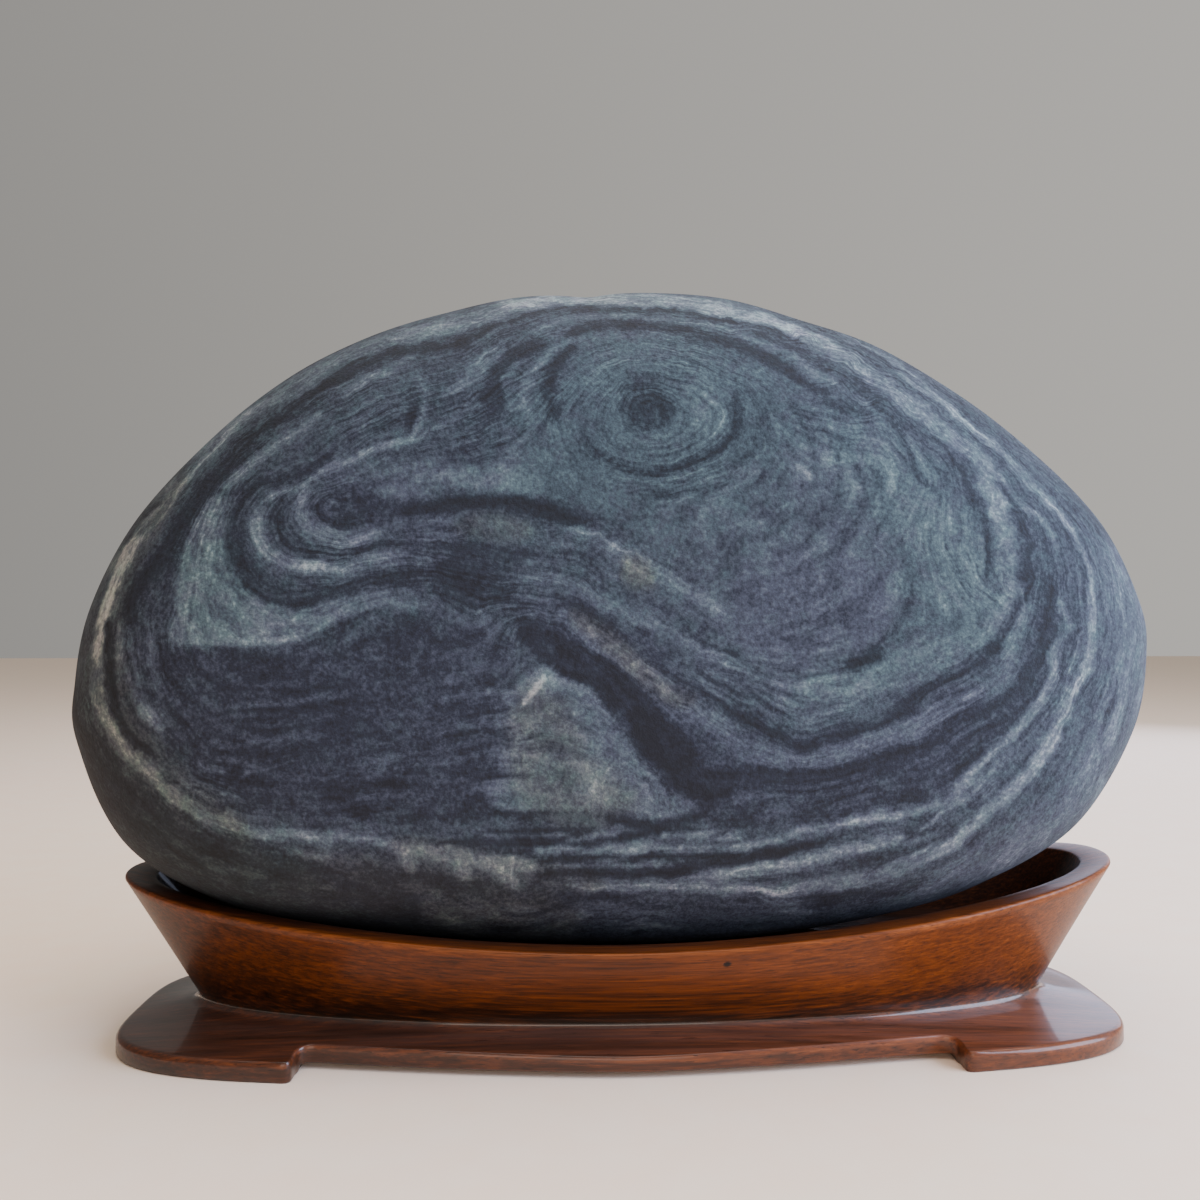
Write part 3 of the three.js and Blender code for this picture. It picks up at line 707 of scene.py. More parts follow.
# %% Stains of iron: strength, width, points along the stroke
STAINS = [
    (0.9, 90, [(120, 840), (240, 890), (400, 905), (560, 920)]),
    (0.8, 60, [(97, 640), (110, 715), (160, 790), (240, 840)]),
    (0.7, 40, [(97, 660), (120, 560), (180, 470)]),
    (0.6, 80, [(535, 700), (545, 740), (560, 785), (620, 800)]),
    (0.7, 22, [(571, 612), (604, 636), (652, 682), (690, 702)]),
    (0.8, 30, [(628, 562), (646, 584)]),
    (0.8, 60, [(70, 690), (100, 780), (150, 830)]),
    (0.6, 30, [(396, 846), (500, 866), (600, 885)]),
    (0.5, 30, [(460, 525), (530, 530)]),
]
warm = np.zeros(len(stone_points))
for value, width, points in STAINS:
    stroke(warm, value, width, points)
print("stained tan over", round(float((warm > 0.3).mean()), 2), "of the points")

# %% Where the layers turn green (1) or purple (0): hue, softness of the edge, corners
HUES = [
    (0.85, 40, [(560, 360), (700, 330), (780, 400), (770, 470), (700, 520), (600, 520), (520, 500),
        (520, 420)]),
    (0.85, 40, [(800, 420), (900, 440), (985, 520), (1000, 620), (920, 690), (820, 700), (830, 640),
        (900, 600), (880, 520)]),
    (0.1, 20, [(745, 575), (800, 555), (870, 565), (890, 610), (860, 650), (780, 660), (735, 630)]),
    (0.12, 30, [(540, 600), (640, 640), (740, 740), (860, 740), (960, 680), (980, 740), (860, 820),
        (700, 810), (620, 720), (540, 650)]),
    (0.12, 20, [(150, 650), (300, 650), (430, 630), (500, 640), (490, 800), (300, 820), (190, 760)]),
    (0.2, 30, [(300, 470), (400, 480), (450, 540), (440, 580), (360, 540), (300, 520)]),
    (0.8, 20, [(175, 560), (240, 540), (250, 620), (200, 650), (170, 620)]),
    (0.25, 40, [(120, 640), (160, 560), (170, 640), (220, 700), (150, 720)]),
    (0.12, 30, [(560, 880), (900, 890), (1000, 840), (1040, 860), (900, 930), (600, 940), (440, 910)]),
    (0.85, 30, [(150, 820), (300, 850), (300, 890), (200, 900), (120, 860)]),
    (0.15, 30, [(340, 850), (440, 870), (430, 910), (330, 900)]),
]
hue = np.full(len(stone_points), 0.5)
for value, soft, points in HUES:
    area(hue, value, soft, points)
print("green over", round(float((hue > 0.6).mean()), 2), "of the points")

# %% [markdown]
# ## Siltstone, river-worn
#
# Grey siltstone and slate have no shine: the river leaves a surface like fine sandpaper, with grains
# of quartz from 0.3 to 0.8 mm that catch the light one by one. That gives a chalky look in light
# bands and a velvety one in dark bands. Fine laminations run inside every band. A picture could be
# laid on, but noise in the solid has no seams, and it follows the layer numbers round to the back.


# %% Colours, nodes and empty materials
def srgb(text):
    """A hex colour as Blender's linear RGBA."""
    parts = [int(text[i : i + 2], 16) / 255 for i in (1, 3, 5)]
    return (*[c / 12.92 if c <= 0.04045 else ((c + 0.055) / 1.055) ** 2.4 for c in parts], 1.0)


def node(tree, kind, settings=None, inputs=None, stops=()):
    """Adds one shader node. Sockets are linked, other inputs are set, and stops colour a ramp."""
    made = tree.nodes.new("ShaderNode" + kind)
    for key, value in (settings or {}).items():
        setattr(made, key, value)
    for key, value in (inputs or {}).items():
        if isinstance(value, bpy.types.NodeSocket):
            tree.links.new(value, made.inputs[key])
        else:
            made.inputs[key].default_value = value
    for _ in stops[2:]:
        made.color_ramp.elements.new(0.5)
    for number, (at, colour) in enumerate(stops):
        element = made.color_ramp.elements[number]
        element.position, element.color = at, srgb(colour)
    return made


def empty_material(name):
    """A material with an empty node tree, and that tree."""
    look = bpy.data.materials.new(name)
    look.use_nodes = True
    look.node_tree.nodes.clear()
    return look, look.node_tree


print("middle grey #808080 is", round(srgb("#808080")[0], 3), "in linear light")

# %% The stone's noise patterns, each from about -0.5 to 0.5
stone_look, tree = empty_material("river_worn_laminated_siltstone")
tone_in, layer_in, warm_in, hue_in = [
    node(tree, "Attribute", {"attribute_name": name}).outputs["Fac"]
    for name in ("tone", "layer", "warm", "hue")
]
place = node(tree, "TexCoord").outputs["Object"]
where = {"everywhere": place}
# Laminations are noise squeezed to a layer's thickness across the layers, and drawn out along them.
for name, layers_thick, length_mm in (("broad", 2.2, 60), ("thin", 0.8, 16)):
    slow = node(tree, "VectorMath", {"operation": "SCALE"}, {0: place, "Scale": 1000 / length_mm})
    axes = node(tree, "SeparateXYZ", None, {0: slow.outputs[0]})
    across = node(tree, "Math", {"operation": "DIVIDE"}, {0: layer_in, 1: layers_thick}).outputs[0]
    along = {0: axes.outputs[0], 1: across, 2: axes.outputs[2]}
    where[name] = node(tree, "CombineXYZ", None, along).outputs[0]
# Real grains are 0.3 to 0.8 mm. The sand here is 1.3 mm, so that it shows at arm's length.
noise = {}
for name, which, per_metre, detail, rough in (
    ("broad", "broad", 1, 2, 0.6),
    ("thin", "thin", 1, 3, 0.6),
    ("sand", "everywhere", 1000 / 1.3, 2, 0.7),
    ("flour", "everywhere", 1000 / 3.2, 3, 0.65),
    ("mottle", "everywhere", 1000 / 14, 3, 0.6),
    ("drift", "everywhere", 1000 / 7, 2, 0.6),
    ("patch", "everywhere", 1000 / 30, 1, 0.6),
):
    made = node(tree, "TexNoise", None,
                {"Vector": where[which], "Scale": per_metre, "Detail": detail, "Roughness": rough})
    noise[name] = node(tree, "Math", {"operation": "SUBTRACT"}, {0: made.outputs["Fac"], 1: 0.5}).outputs[0]
print(len(noise), "patterns:", ", ".join(noise))

# %% The stone's colours
# Laminations show in some patches and fade in others.
thin_strength = node(tree, "MapRange", None, {
    "Value": noise["patch"], "From Min": -0.12, "From Max": 0.12, "To Min": 0.3, "To Max": 0.75}).outputs[0]
shade = 0.0
amounts = {"broad": 0.17, "thin": thin_strength, "sand": 0.5, "flour": 0.34, "mottle": 0.14}
for name, amount in amounts.items():
    parts = {0: noise[name], 1: amount, 2: shade}
    shade = node(tree, "Math", {"operation": "MULTIPLY_ADD"}, parts).outputs[0]
# The darkest bands are almost solid mud, with few pale grains.
contrast = node(tree, "MapRange", None, {
    "Value": tone_in, "From Min": 0.08, "From Max": 0.24, "To Min": 0.8, "To Max": 1.25}).outputs[0]
value = node(tree, "Math", {"operation": "MULTIPLY_ADD", "use_clamp": True},
             {0: shade, 1: contrast, 2: tone_in}).outputs[0]
STONE_STOPS = [(0.0, "#0d111b"), (0.2, "#1c2330"), (0.45, "#3c4652"), (0.65, "#58646d"), (1.0, "#a3abae")]
ramp = node(tree, "ValToRGB", None, {"Fac": value}, STONE_STOPS)
tan = node(tree, "Mix", {"data_type": "RGBA", "blend_type": "MULTIPLY"},
           {"Factor": warm_in, "A": ramp.outputs["Color"], "B": srgb("#fff0d6")}).outputs["Result"]
drift = hue_in
for name, amount in (("drift", 1.3), ("flour", 0.9)):
    parts = {0: noise[name], 1: amount, 2: drift}
    drift = node(tree, "Math", {"operation": "MULTIPLY_ADD"}, parts).outputs[0]
TINT_STOPS = [(0.15, "#fbf0fc"), (0.5, "#fafafc"), (0.85, "#e8faf5")]
tints = node(tree, "ValToRGB", None, {"Fac": drift}, TINT_STOPS)
tinted = node(tree, "Mix", {"data_type": "RGBA", "blend_type": "MULTIPLY"},
              {"Factor": 1.0, "A": tan, "B": tints.outputs["Color"]}).outputs["Result"]
print(len(STONE_STOPS), "greys from", STONE_STOPS[0][1], "to", STONE_STOPS[-1][1])

# %% The stone's surface
floury = node(tree, "Math", {"operation": "MULTIPLY"}, {0: noise["flour"], 1: 0.6}).outputs[0]
pitted = node(tree, "Math", {"operation": "ADD"}, {0: noise["sand"], 1: floury}).outputs[0]
bump = node(tree, "Bump", None, {"Strength": 0.5, "Distance": 0.0005, "Height": pitted})
shader = node(tree, "BsdfPrincipled", None, {
    "Base Color": tinted, "Roughness": 0.8, "IOR": 1.5,
    "Specular IOR Level": 0.35, "Normal": bump.outputs["Normal"],
})
node(tree, "OutputMaterial", None, {"Surface": shader.outputs["BSDF"]})
print(stone_look.name, "has", len(tree.nodes), "nodes")

# %% The stone as a piece
MM = 0.001


def mesh_piece(name, points_mm, faces, material, at_points=()):
    """A smooth-shaded mesh object at the origin, from points in millimetres, with values at its points."""
    mesh = bpy.data.meshes.new(name)
    mesh.from_pydata((np.asarray(points_mm) * MM).tolist(), [], faces)
    mesh.update()
    mesh.shade_smooth()
    for label, values in at_points:
        mesh.attributes.new(label, "FLOAT", "POINT").data.foreach_set("value", values.astype(np.float32))
    piece = bpy.data.objects.new(name, mesh)
    bpy.context.scene.collection.objects.link(piece)
    piece.data.materials.append(material)
    return piece


painted = (("tone", tone), ("layer", layer), ("warm", warm), ("hue", hue))
stone = mesh_piece("stone_worn", stone_points, faces, stone_look, painted)
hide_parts("stone")
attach(stone, "root")
print("stone triangles", sum(len(p.vertices) - 2 for p in stone.data.polygons))

# %% [markdown]
# ## The stand
#
# One block of hardwood: a flaring tray with a flat rim, a cove where its wall meets the plate, and a
# broad foot at each end, left by carving the plate back between them. It could be cut from a block
# with booleans. Rings stacked from the bottom up give the same form with clean edges, and each ring
# can be rounded or spaced as it needs.

# %% The stand's sizes, in millimetres, the same as the CAD model's
STAND_CENTRE_X = 2.5
RIM_HALF_LENGTH, RIM_HALF_DEPTH, RIM_POWER = 182.8, 62.8, 2.2
RIM_MIDDLE_Z, RIM_END_RISE, RIM_RISE_POWER, RIM_TILT = 42.5, 17.5, 1.75, 1.5
RIM_WIDTH, RIM_EDGE_ROUND = 11, 1.4
WALL_FOOT_HALF_LENGTH, WALL_FOOT_HALF_DEPTH, WALL_FOOT_Z = 157.5, 42.5, 13
COVE = 4
PLATE_HALF_LENGTH, PLATE_HALF_DEPTH, PLATE_POWER = 180.5, 60, 3.8
PLATE_EDGE_Z, PLATE_EDGE_ROUND = 6.8, 2.4
FOOT_INNER_X, NOTCH_MIDDLE_Y, NOTCH_DEEPEST, NOTCH_POWER, NOTCH_CORNER = 111, 58, 13, 1.5, 5
RELIEF = 2.3
FOOT_CORNER = 3
print("rim", 2 * RIM_HALF_LENGTH, "by", 2 * RIM_HALF_DEPTH, "mm, plate", 2 * PLATE_HALF_LENGTH, "mm long")


# %% The plate's outline
def oval(turn, half_length, half_depth, power):
    """Points round an oval. A power of 2 gives an ellipse, and more gives fuller corners."""
    def part(v):
        return np.sign(v) * np.abs(v) ** (2 / power)

    return np.stack([half_length * part(np.cos(turn)), half_depth * part(np.sin(turn))], -1)


def notch_y(x):
    """Where the plate is carved back to, between its feet."""
    return NOTCH_MIDDLE_Y - NOTCH_DEEPEST * (np.abs(x) / FOOT_INNER_X) ** NOTCH_POWER


def bend(start, corner, end, steps=10):
    """A curve that rounds a corner off."""
    start, corner, end = np.array([start, corner, end], float)
    f = np.linspace(0, 1, steps)[:, None]
    return (1 - f) ** 2 * start + 2 * f * (1 - f) * corner + f**2 * end


# A quarter of the plate, from the right end round to the middle of the back edge.
foot_edge = oval(np.linspace(0, math.pi / 2, 900), PLATE_HALF_LENGTH, PLATE_HALF_DEPTH, PLATE_POWER)
side_y = float(foot_edge[foot_edge[:, 0] > FOOT_INNER_X][-1, 1])
foot_edge = foot_edge[foot_edge[:, 0] > FOOT_INNER_X + FOOT_CORNER]
corner_x = FOOT_INNER_X - NOTCH_CORNER
corner_y = float(notch_y(corner_x))
notch_x = np.linspace(corner_x, 0, 60)
quarter = np.vstack([
    foot_edge,
    bend(foot_edge[-1], (FOOT_INNER_X, side_y), (FOOT_INNER_X, side_y - FOOT_CORNER))[1:],
    bend((FOOT_INNER_X, corner_y + NOTCH_CORNER), (FOOT_INNER_X, corner_y), (corner_x, corner_y)),
    np.c_[notch_x, notch_y(notch_x)][1:],
])
walked = np.r_[0, np.cumsum(np.linalg.norm(np.diff(quarter, axis=0), axis=1))]
QUARTER = 180
even = np.linspace(0, walked[-1], QUARTER + 1)
quarter = np.c_[np.interp(even, walked, quarter[:, 0]), np.interp(even, walked, quarter[:, 1])]
back = np.vstack([quarter, (quarter * (-1, 1))[-2::-1]])
plate = np.vstack([back, (back * (1, -1))[-2:0:-1]])
AROUND = len(plate)
print("a quarter of the plate's edge is", round(float(walked[-1]), 1), "mm;", AROUND, "points around")


# %% Pair each point of the plate's outline with a place round the ovals
def turn_at_x(x):
    """The place round the cove's oval that has this x."""
    return np.arccos(np.clip(x / (WALL_FOOT_HALF_LENGTH + COVE), -1, 1))


# Beside the notch the two have the same x, so that the plate's top never folds over itself. The foot's
# inner side gets the short stretch of the oval between these two x.
SIDE_FROM, SIDE_TO = FOOT_INNER_X + 7, FOOT_INNER_X - 0.3
foot_end = int(np.argmax(quarter[:, 0] < FOOT_INNER_X + FOOT_CORNER))
side_end = int(np.argmax(quarter[:, 0] < SIDE_TO))
first = np.linspace(0, turn_at_x(SIDE_FROM), foot_end + 1)
beside = np.linspace(turn_at_x(SIDE_FROM), turn_at_x(SIDE_TO), side_end - foot_end + 1)
quarter_turn = np.r_[first, beside[1:], turn_at_x(quarter[side_end + 1 :, 0])]
half_turn = np.r_[quarter_turn, math.pi - quarter_turn[-2::-1]]
turn_round = np.r_[half_turn, 2 * math.pi - half_turn[-2:0:-1]]
print("the foot takes", foot_end, "points, its inner side", side_end - foot_end)


# %% The curves that the rings follow
def inset(ring, by):
    """Moves an outline inwards by this much. The cut edges of the notch are less rounded than the feet."""
    by = by * (0.35 + 0.65 * smoothstep(FOOT_INNER_X + 1, FOOT_INNER_X + 14, np.abs(ring[:, 0])))[:, None]
    along = np.roll(ring, -1, axis=0) - np.roll(ring, 1, axis=0)
    along /= np.linalg.norm(along, axis=1)[:, None]
    return ring + by * np.c_[-along[:, 1], along[:, 0]]


def rim_height(x):
    """The rim rises to both ends, and a little more to the right."""
    along = x / RIM_HALF_LENGTH
    return RIM_MIDDLE_Z + RIM_END_RISE * np.abs(along) ** RIM_RISE_POWER + RIM_TILT * along


def ring_at(ring, z):
    """An outline lifted to a height."""
    return np.c_[ring, np.broadcast_to(z, len(ring))]


def wall_foot(outset, z):
    """The ellipse at the wall's foot, moved out by this much."""
    return ring_at(oval(turn_round, WALL_FOOT_HALF_LENGTH + outset, WALL_FOOT_HALF_DEPTH + outset, 2), z)


def rim(inward, drop):
    """The rim's outline, moved in and lowered by this much."""
    ring = oval(turn_round, RIM_HALF_LENGTH - inward, RIM_HALF_DEPTH - inward, RIM_POWER)
    return ring_at(ring, rim_height(ring[:, 0]) - drop)


def between(a, b, steps):
    """The rings between two rings, without those two."""
    return [a + (b - a) * k / steps for k in range(1, steps)]


def plate_top(ring):
    """The height of the plate's top, which rises from the plate's oval edge to the foot of the cove."""
    x, y = np.abs(ring[:, 0]), np.abs(ring[:, 1])
    power = PLATE_POWER
    to_edge = 1 - ((x / PLATE_HALF_LENGTH) ** power + (y / PLATE_HALF_DEPTH) ** power) ** (1 / power)
    from_wall = np.hypot(x / (WALL_FOOT_HALF_LENGTH + COVE), y / (WALL_FOOT_HALF_DEPTH + COVE)) - 1
    share = np.clip(to_edge, 0, 1) / np.maximum(np.clip(to_edge, 0, 1) + np.clip(from_wall, 0, 9), 1e-6)
    return PLATE_EDGE_Z + (WALL_FOOT_Z - 0.75 * COVE - PLATE_EDGE_Z) * share


print("rim at the ends", rim_height(-RIM_HALF_LENGTH), "and", rim_height(RIM_HALF_LENGTH), "mm high")

# %% [markdown]
# ### A bed that fits the stone
#
# A carver sets the stone on the wood, marks where it touches, and cuts there, over and over. Here the
# heights of the stone's underside are looked up, and the tray's inside is lowered to just under them.
# A boolean cut would leave ragged triangles along the seam.

# %% The stone's underside
TRAY_FLOOR_Z, SEAT_GAP = 33, 0.45
BED_HALF_LENGTH, BED_HALF_DEPTH, FAR_ABOVE = 196, 66, 999
lower = np.linspace(-math.pi, 0, 500)
bed_x = np.arange(-BED_HALF_LENGTH, BED_HALF_LENGTH + 1.0)
bed_y = np.arange(-BED_HALF_DEPTH, BED_HALF_DEPTH + 1.0)
bed = []
for y_mm in bed_y:
    under = stone_point(lower, np.full(len(lower), math.acos(-y_mm / STONE_HALF_DEPTH)))
    bed.append(np.interp(bed_x, under[:, 0], under[:, 2], left=FAR_ABOVE, right=FAR_ABOVE))
bed = np.array(bed)


def under_stone(x, y):
    """The height of the stone's underside above each x and y, from a table with a place per millimetre."""
    column = np.clip(x + BED_HALF_LENGTH, 0, len(bed_x) - 1.001)
    row = np.clip(y + BED_HALF_DEPTH, 0, len(bed_y) - 1.001)
    c, r = column.astype(int), row.astype(int)
    fc, fr = column - c, row - r
    near_row = bed[r, c] * (1 - fc) + bed[r, c + 1] * fc
    far_row = bed[r + 1, c] * (1 - fc) + bed[r + 1, c + 1] * fc
    return near_row * (1 - fr) + far_row * fr


print("the stone's lowest point is", round(float(bed.min()), 1), "mm up")


# %% Stack the stand's rings
def rounded(radius, steps):
    """Steps round a quarter circle, as how far in and how far down each lies."""
    angles = np.linspace(0, math.pi / 2, steps)
    return [(radius * (1 - math.cos(a)), radius * (1 - math.sin(a))) for a in angles]


BOTTOM_EDGE = 0.7
bottom_z = np.where(np.abs(plate[:, 0]) > FOOT_INNER_X - 0.5, 0, RELIEF)
stack = [ring_at(inset(plate, BOTTOM_EDGE), bottom_z), ring_at(plate, bottom_z + BOTTOM_EDGE)]
plate_edge = plate_top(inset(plate, PLATE_EDGE_ROUND))
stack += [ring_at(inset(plate, i), plate_edge - drop) for i, drop in rounded(PLATE_EDGE_ROUND, 6)]
sweep = [(COVE * (1 - math.sin(a)) + 0.1, 0.75 * COVE * (1 - math.cos(a)))
         for a in np.linspace(0, math.pi / 2, 7)]
cove_rings = [wall_foot(outset, WALL_FOOT_Z - 0.75 * COVE + rise) for outset, rise in sweep]
plate_rings = between(stack[-1], cove_rings[0], 8)
stack += [ring_at(ring[:, :2], plate_top(ring)) for ring in plate_rings] + cove_rings
stack += between(cove_rings[-1], rim(0, RIM_EDGE_ROUND), 16)
first_of_lip = len(stack)
stack += [rim(i, drop) for i, drop in rounded(RIM_EDGE_ROUND, 6)]
stack += between(stack[-1], rim(RIM_WIDTH - 1, 0), 4)
stack += [rim(RIM_WIDTH - i, drop) for i, drop in ((1, 0), (0.7, 0.1), (0.3, 0.3), (0.1, 0.7))]
floor_edge = wall_foot(-2, TRAY_FLOOR_Z)
first_inside = len(stack)
stack += between(stack[-1], floor_edge, 12) + [floor_edge]
stack += [floor_edge * (k, k, 1) for k in np.linspace(0.92, 0.08, 12)]
print(len(stack), "rings; the rim starts at", first_of_lip, "and the inside at", first_inside)

# %% Cut the bed, and join the rings with faces
CUT_ABOVE = 20
stand_points = np.vstack([*stack, (0, 0, TRAY_FLOOR_Z)]) + (STAND_CENTRE_X, 0, 0)
carved = under_stone(stand_points[:, 0], stand_points[:, 1]) - SEAT_GAP
high = stand_points[:, 2] > CUT_ABOVE
stand_points[high, 2] = np.minimum(stand_points[high, 2], carved[high])
stand_faces = []
for k in range(len(stack) - 1):
    a, b = k * AROUND + np.arange(AROUND), (k + 1) * AROUND + np.arange(AROUND)
    stand_faces += np.stack([a, np.roll(a, -1), np.roll(b, -1), b], -1).tolist()
last = (len(stack) - 1) * AROUND
stand_faces += [(last + i, last + (i + 1) % AROUND, len(stack) * AROUND) for i in range(AROUND)]
# The underside is closed by strips from the front edge to the back edge.
half = AROUND // 2
stand_faces += [(0, AROUND - 1, 1)]
stand_faces += [(i, AROUND - i, AROUND - i - 1, i + 1) for i in range(1, half - 1)]
stand_faces += [(half - 1, half + 1, half)]
print("stand:", len(stand_points), "points,", len(stand_faces), "faces")

# %% [markdown]
# ## Oiled and waxed hardwood
#
# Stands like this are cut from a reddish hardwood, stained, then oiled and waxed. The wax gives a
# satin sheen with soft reflections, the pores stay open as fine dark lines along the grain, and
# handling wears the edges paler. Some light and shade is painted into the colour too: the wood is
# lighter towards the right, where the light comes from, a purple sheen is painted on the plate, the
# tray's inside is painted darker as shade, and the pale edges carry a painted highlight. Noise drawn
# out along the block is solid, as grain is, so it runs on round every edge, where a picture of planks
# would break.

# %% The wood's noise patterns, each from about -0.5 to 0.5, drawn out along the grain (X)
wood_look, tree = empty_material("stained_and_waxed_hardwood")
place = node(tree, "TexCoord").outputs["Object"]
axes = node(tree, "SeparateXYZ", None, {0: place})
shade_and_matt_inside, edge = [
    node(tree, "Attribute", {"attribute_name": name}).outputs["Fac"] for name in ("shade_and_matt_inside", "edge")
]
# Real pores are 0.1 to 0.3 mm wide. Here they are 0.5 mm, so that they show.
noise = {}
for name, along_mm, across_mm, detail, rough, twist in (
    ("figure", 110, 6, 4, 0.6, 0.4),
    ("fibre", 40, 1.1, 4, 0.7, 0.2),
    ("streak", 80, 1.8, 3, 0.6, 0.3),
    ("pore", 9, 0.5, 1, 0.5, 0.0),
    ("cloud", 60, 40, 2, 0.55, 0.0),
):
    per_metre = (1000 / along_mm, 1000 / across_mm, 1000 / across_mm)
    where = node(tree, "VectorMath", {"operation": "MULTIPLY"}, {0: place, 1: per_metre}).outputs[0]
    made = node(tree, "TexNoise", None,
                {"Vector": where, "Scale": 1.0, "Detail": detail, "Roughness": rough, "Distortion": twist})
    noise[name] = node(tree, "Math", {"operation": "SUBTRACT"}, {0: made.outputs["Fac"], 1: 0.5}).outputs[0]
print(len(noise), "patterns:", ", ".join(noise))

# %% Where the wood is dark
# on_wall is 1 on the tray and 0 on the plate; low is 1 at the wall's foot and 0 from 30 mm up.
# The wood is lighter from 0 at the left end to 1 at the right: painted light from the right, the side
# the lamp is on. The rim towards the stone and the tray's inside are darkened as painted shade, and
# the round edges are paler, rubbed by hands and with a painted highlight.
on_wall, low = [
    node(tree, "MapRange", {"interpolation_type": "SMOOTHSTEP"}, {
        "Value": axes.outputs[2], "From Min": start, "From Max": end, "To Min": 0.0, "To Max": 1.0,
    }).outputs[0]
    for start, end in ((0.0105, 0.013), (0.03, 0.014))
]
toward_the_light = node(tree, "MapRange", None, {
    "Value": axes.outputs[0], "From Min": -0.16, "From Max": 0.16, "To Min": 0.0, "To Max": 1.0}).outputs[0]
# Stain has gathered in streaks at the wall's foot.
streaky = node(tree, "Math", {"operation": "MULTIPLY_ADD"},
               {0: noise["streak"], 1: -2.8, 2: 0.5}).outputs[0]
gathered = 1.0
for part in (low, on_wall, streaky):
    gathered = node(tree, "Math", {"operation": "MULTIPLY"}, {0: part, 1: gathered}).outputs[0]
# Lighter to the right is painted light, darker inside is painted shade, and paler edges are part wear, part
# painted highlight.
value = 0.22
for part, amount in (
    (toward_the_light, 0.26), (on_wall, 0.16), (gathered, -0.55), (shade_and_matt_inside, -0.32), (edge, 0.16),
    (noise["figure"], 0.4), (noise["fibre"], 1.15), (noise["cloud"], 0.3),
):
    value = node(tree, "Math", {"operation": "MULTIPLY_ADD"}, {0: part, 1: amount, 2: value}).outputs[0]
print(len(tree.nodes), "nodes so far")

# %% The wood's colours
WOOD_STOPS = [(0.0, "#160a03"), (0.3, "#351806"), (0.55, "#592a0a"), (0.8, "#743a10"), (1.0, "#905020")]
ramp = node(tree, "ValToRGB", None, {"Fac": value}, WOOD_STOPS)
# Polish and age have turned the top of the plate purplish in streaks. Over it lies a painted sheen, as
# of the lamp reflected in the wax, strongest at the right.
flat = node(tree, "MapRange", None, {
    "Value": axes.outputs[2], "From Min": 0.006, "From Max": 0.0095, "To Min": 0.3, "To Max": 1.0,
}).outputs[0]
off_wall = node(tree, "Math", {"operation": "SUBTRACT"}, {0: 1.0, 1: on_wall}).outputs[0]
sheen_rightward = node(tree, "Math", {"operation": "MULTIPLY_ADD"}, {0: toward_the_light, 1: 0.65, 2: 0.35}).outputs[0]
mottled = node(tree, "Math", {"operation": "MULTIPLY_ADD"}, {0: noise["figure"], 1: 3.0, 2: 1.0}).outputs[0]
aged_and_sheen = 1.0
for part in (flat, off_wall, sheen_rightward, mottled):
    aged_and_sheen = node(tree, "Math", {"operation": "MULTIPLY"}, {0: part, 1: aged_and_sheen}).outputs[0]
purple = node(tree, "Mix", {"data_type": "RGBA", "blend_type": "ADD"},
              {"Factor": aged_and_sheen, "A": ramp.outputs["Color"], "B": srgb("#48302c")}).outputs["Result"]
# In the open pores the stain is darkest. One pinhole, about 3 mm wide, is in the front of the wall.
PINHOLE = (0.0333, -0.0584, 0.038)
in_pore = node(tree, "Math", {"operation": "LESS_THAN"}, {0: noise["pore"], 1: -0.17}).outputs[0]
from_hole = node(tree, "VectorMath", {"operation": "DISTANCE"}, {0: place, 1: PINHOLE}).outputs["Value"]
hole = node(tree, "MapRange", None, {
    "Value": from_hole, "From Min": 0.0011, "From Max": 0.0018, "To Min": 1.0, "To Max": 0.0}).outputs[0]
half_seen = node(tree, "Math", {"operation": "MULTIPLY_ADD", "use_clamp": True},
                 {0: in_pore, 1: 0.55, 2: hole}).outputs[0]
pored = node(tree, "Mix", {"data_type": "RGBA"},
             {"Factor": half_seen, "A": purple, "B": srgb("#140805")}).outputs["Result"]
print(len(WOOD_STOPS), "browns from", WOOD_STOPS[0][1], "to", WOOD_STOPS[-1][1])

# %% The wood's surface
# Wax lies on the plate, thickest in the cove. Hands have rubbed the tray's wall duller, and the dust
# inside the tray is matt.
waxed_low = node(tree, "MapRange", {"interpolation_type": "SMOOTHSTEP"}, {
    "Value": axes.outputs[2], "From Min": 0.014, "From Max": 0.02, "To Min": 0.5, "To Max": 0.05,
}).outputs[0]
in_cove = node(tree, "Math", {"operation": "MULTIPLY_ADD"}, {0: on_wall, 1: 0.9, 2: 1.0}).outputs[0]
wax = node(tree, "Math", {"operation": "MULTIPLY"}, {0: waxed_low, 1: in_cove}).outputs[0]
worn_satin = 0.4
for part, amount in ((noise["cloud"], 0.15), (shade_and_matt_inside, 0.4)):
    worn_satin = node(tree, "Math", {"operation": "MULTIPLY_ADD"},
                      {0: part, 1: amount, 2: worn_satin}).outputs[0]
grain_height = node(tree, "Math", {"operation": "MULTIPLY"}, {0: noise["fibre"], 1: 0.5}).outputs[0]
open_pores = node(tree, "Math", {"operation": "SUBTRACT"}, {0: grain_height, 1: half_seen}).outputs[0]
bump = node(tree, "Bump", None, {"Strength": 0.25, "Distance": 0.0004, "Height": open_pores})
shader = node(tree, "BsdfPrincipled", None, {
    "Base Color": pored, "Roughness": worn_satin, "IOR": 1.5, "Specular IOR Level": 0.2,
    "Coat Weight": wax, "Coat Roughness": 0.1, "Normal": bump.outputs["Normal"],
})
node(tree, "OutputMaterial", None, {"Surface": shader.outputs["BSDF"]})
print(wood_look.name, "has", len(tree.nodes), "nodes")

# %% The stand as a piece
# The round edges, rings 3 to 5 of the plate and the first four of the rim, are paler: rubbed by hands,
# and a painted highlight.
ring_number = np.arange(len(stand_points)) // AROUND
edge_wear_and_highlight = np.isin(ring_number, [*range(3, 6), *range(first_of_lip, first_of_lip + 4)])
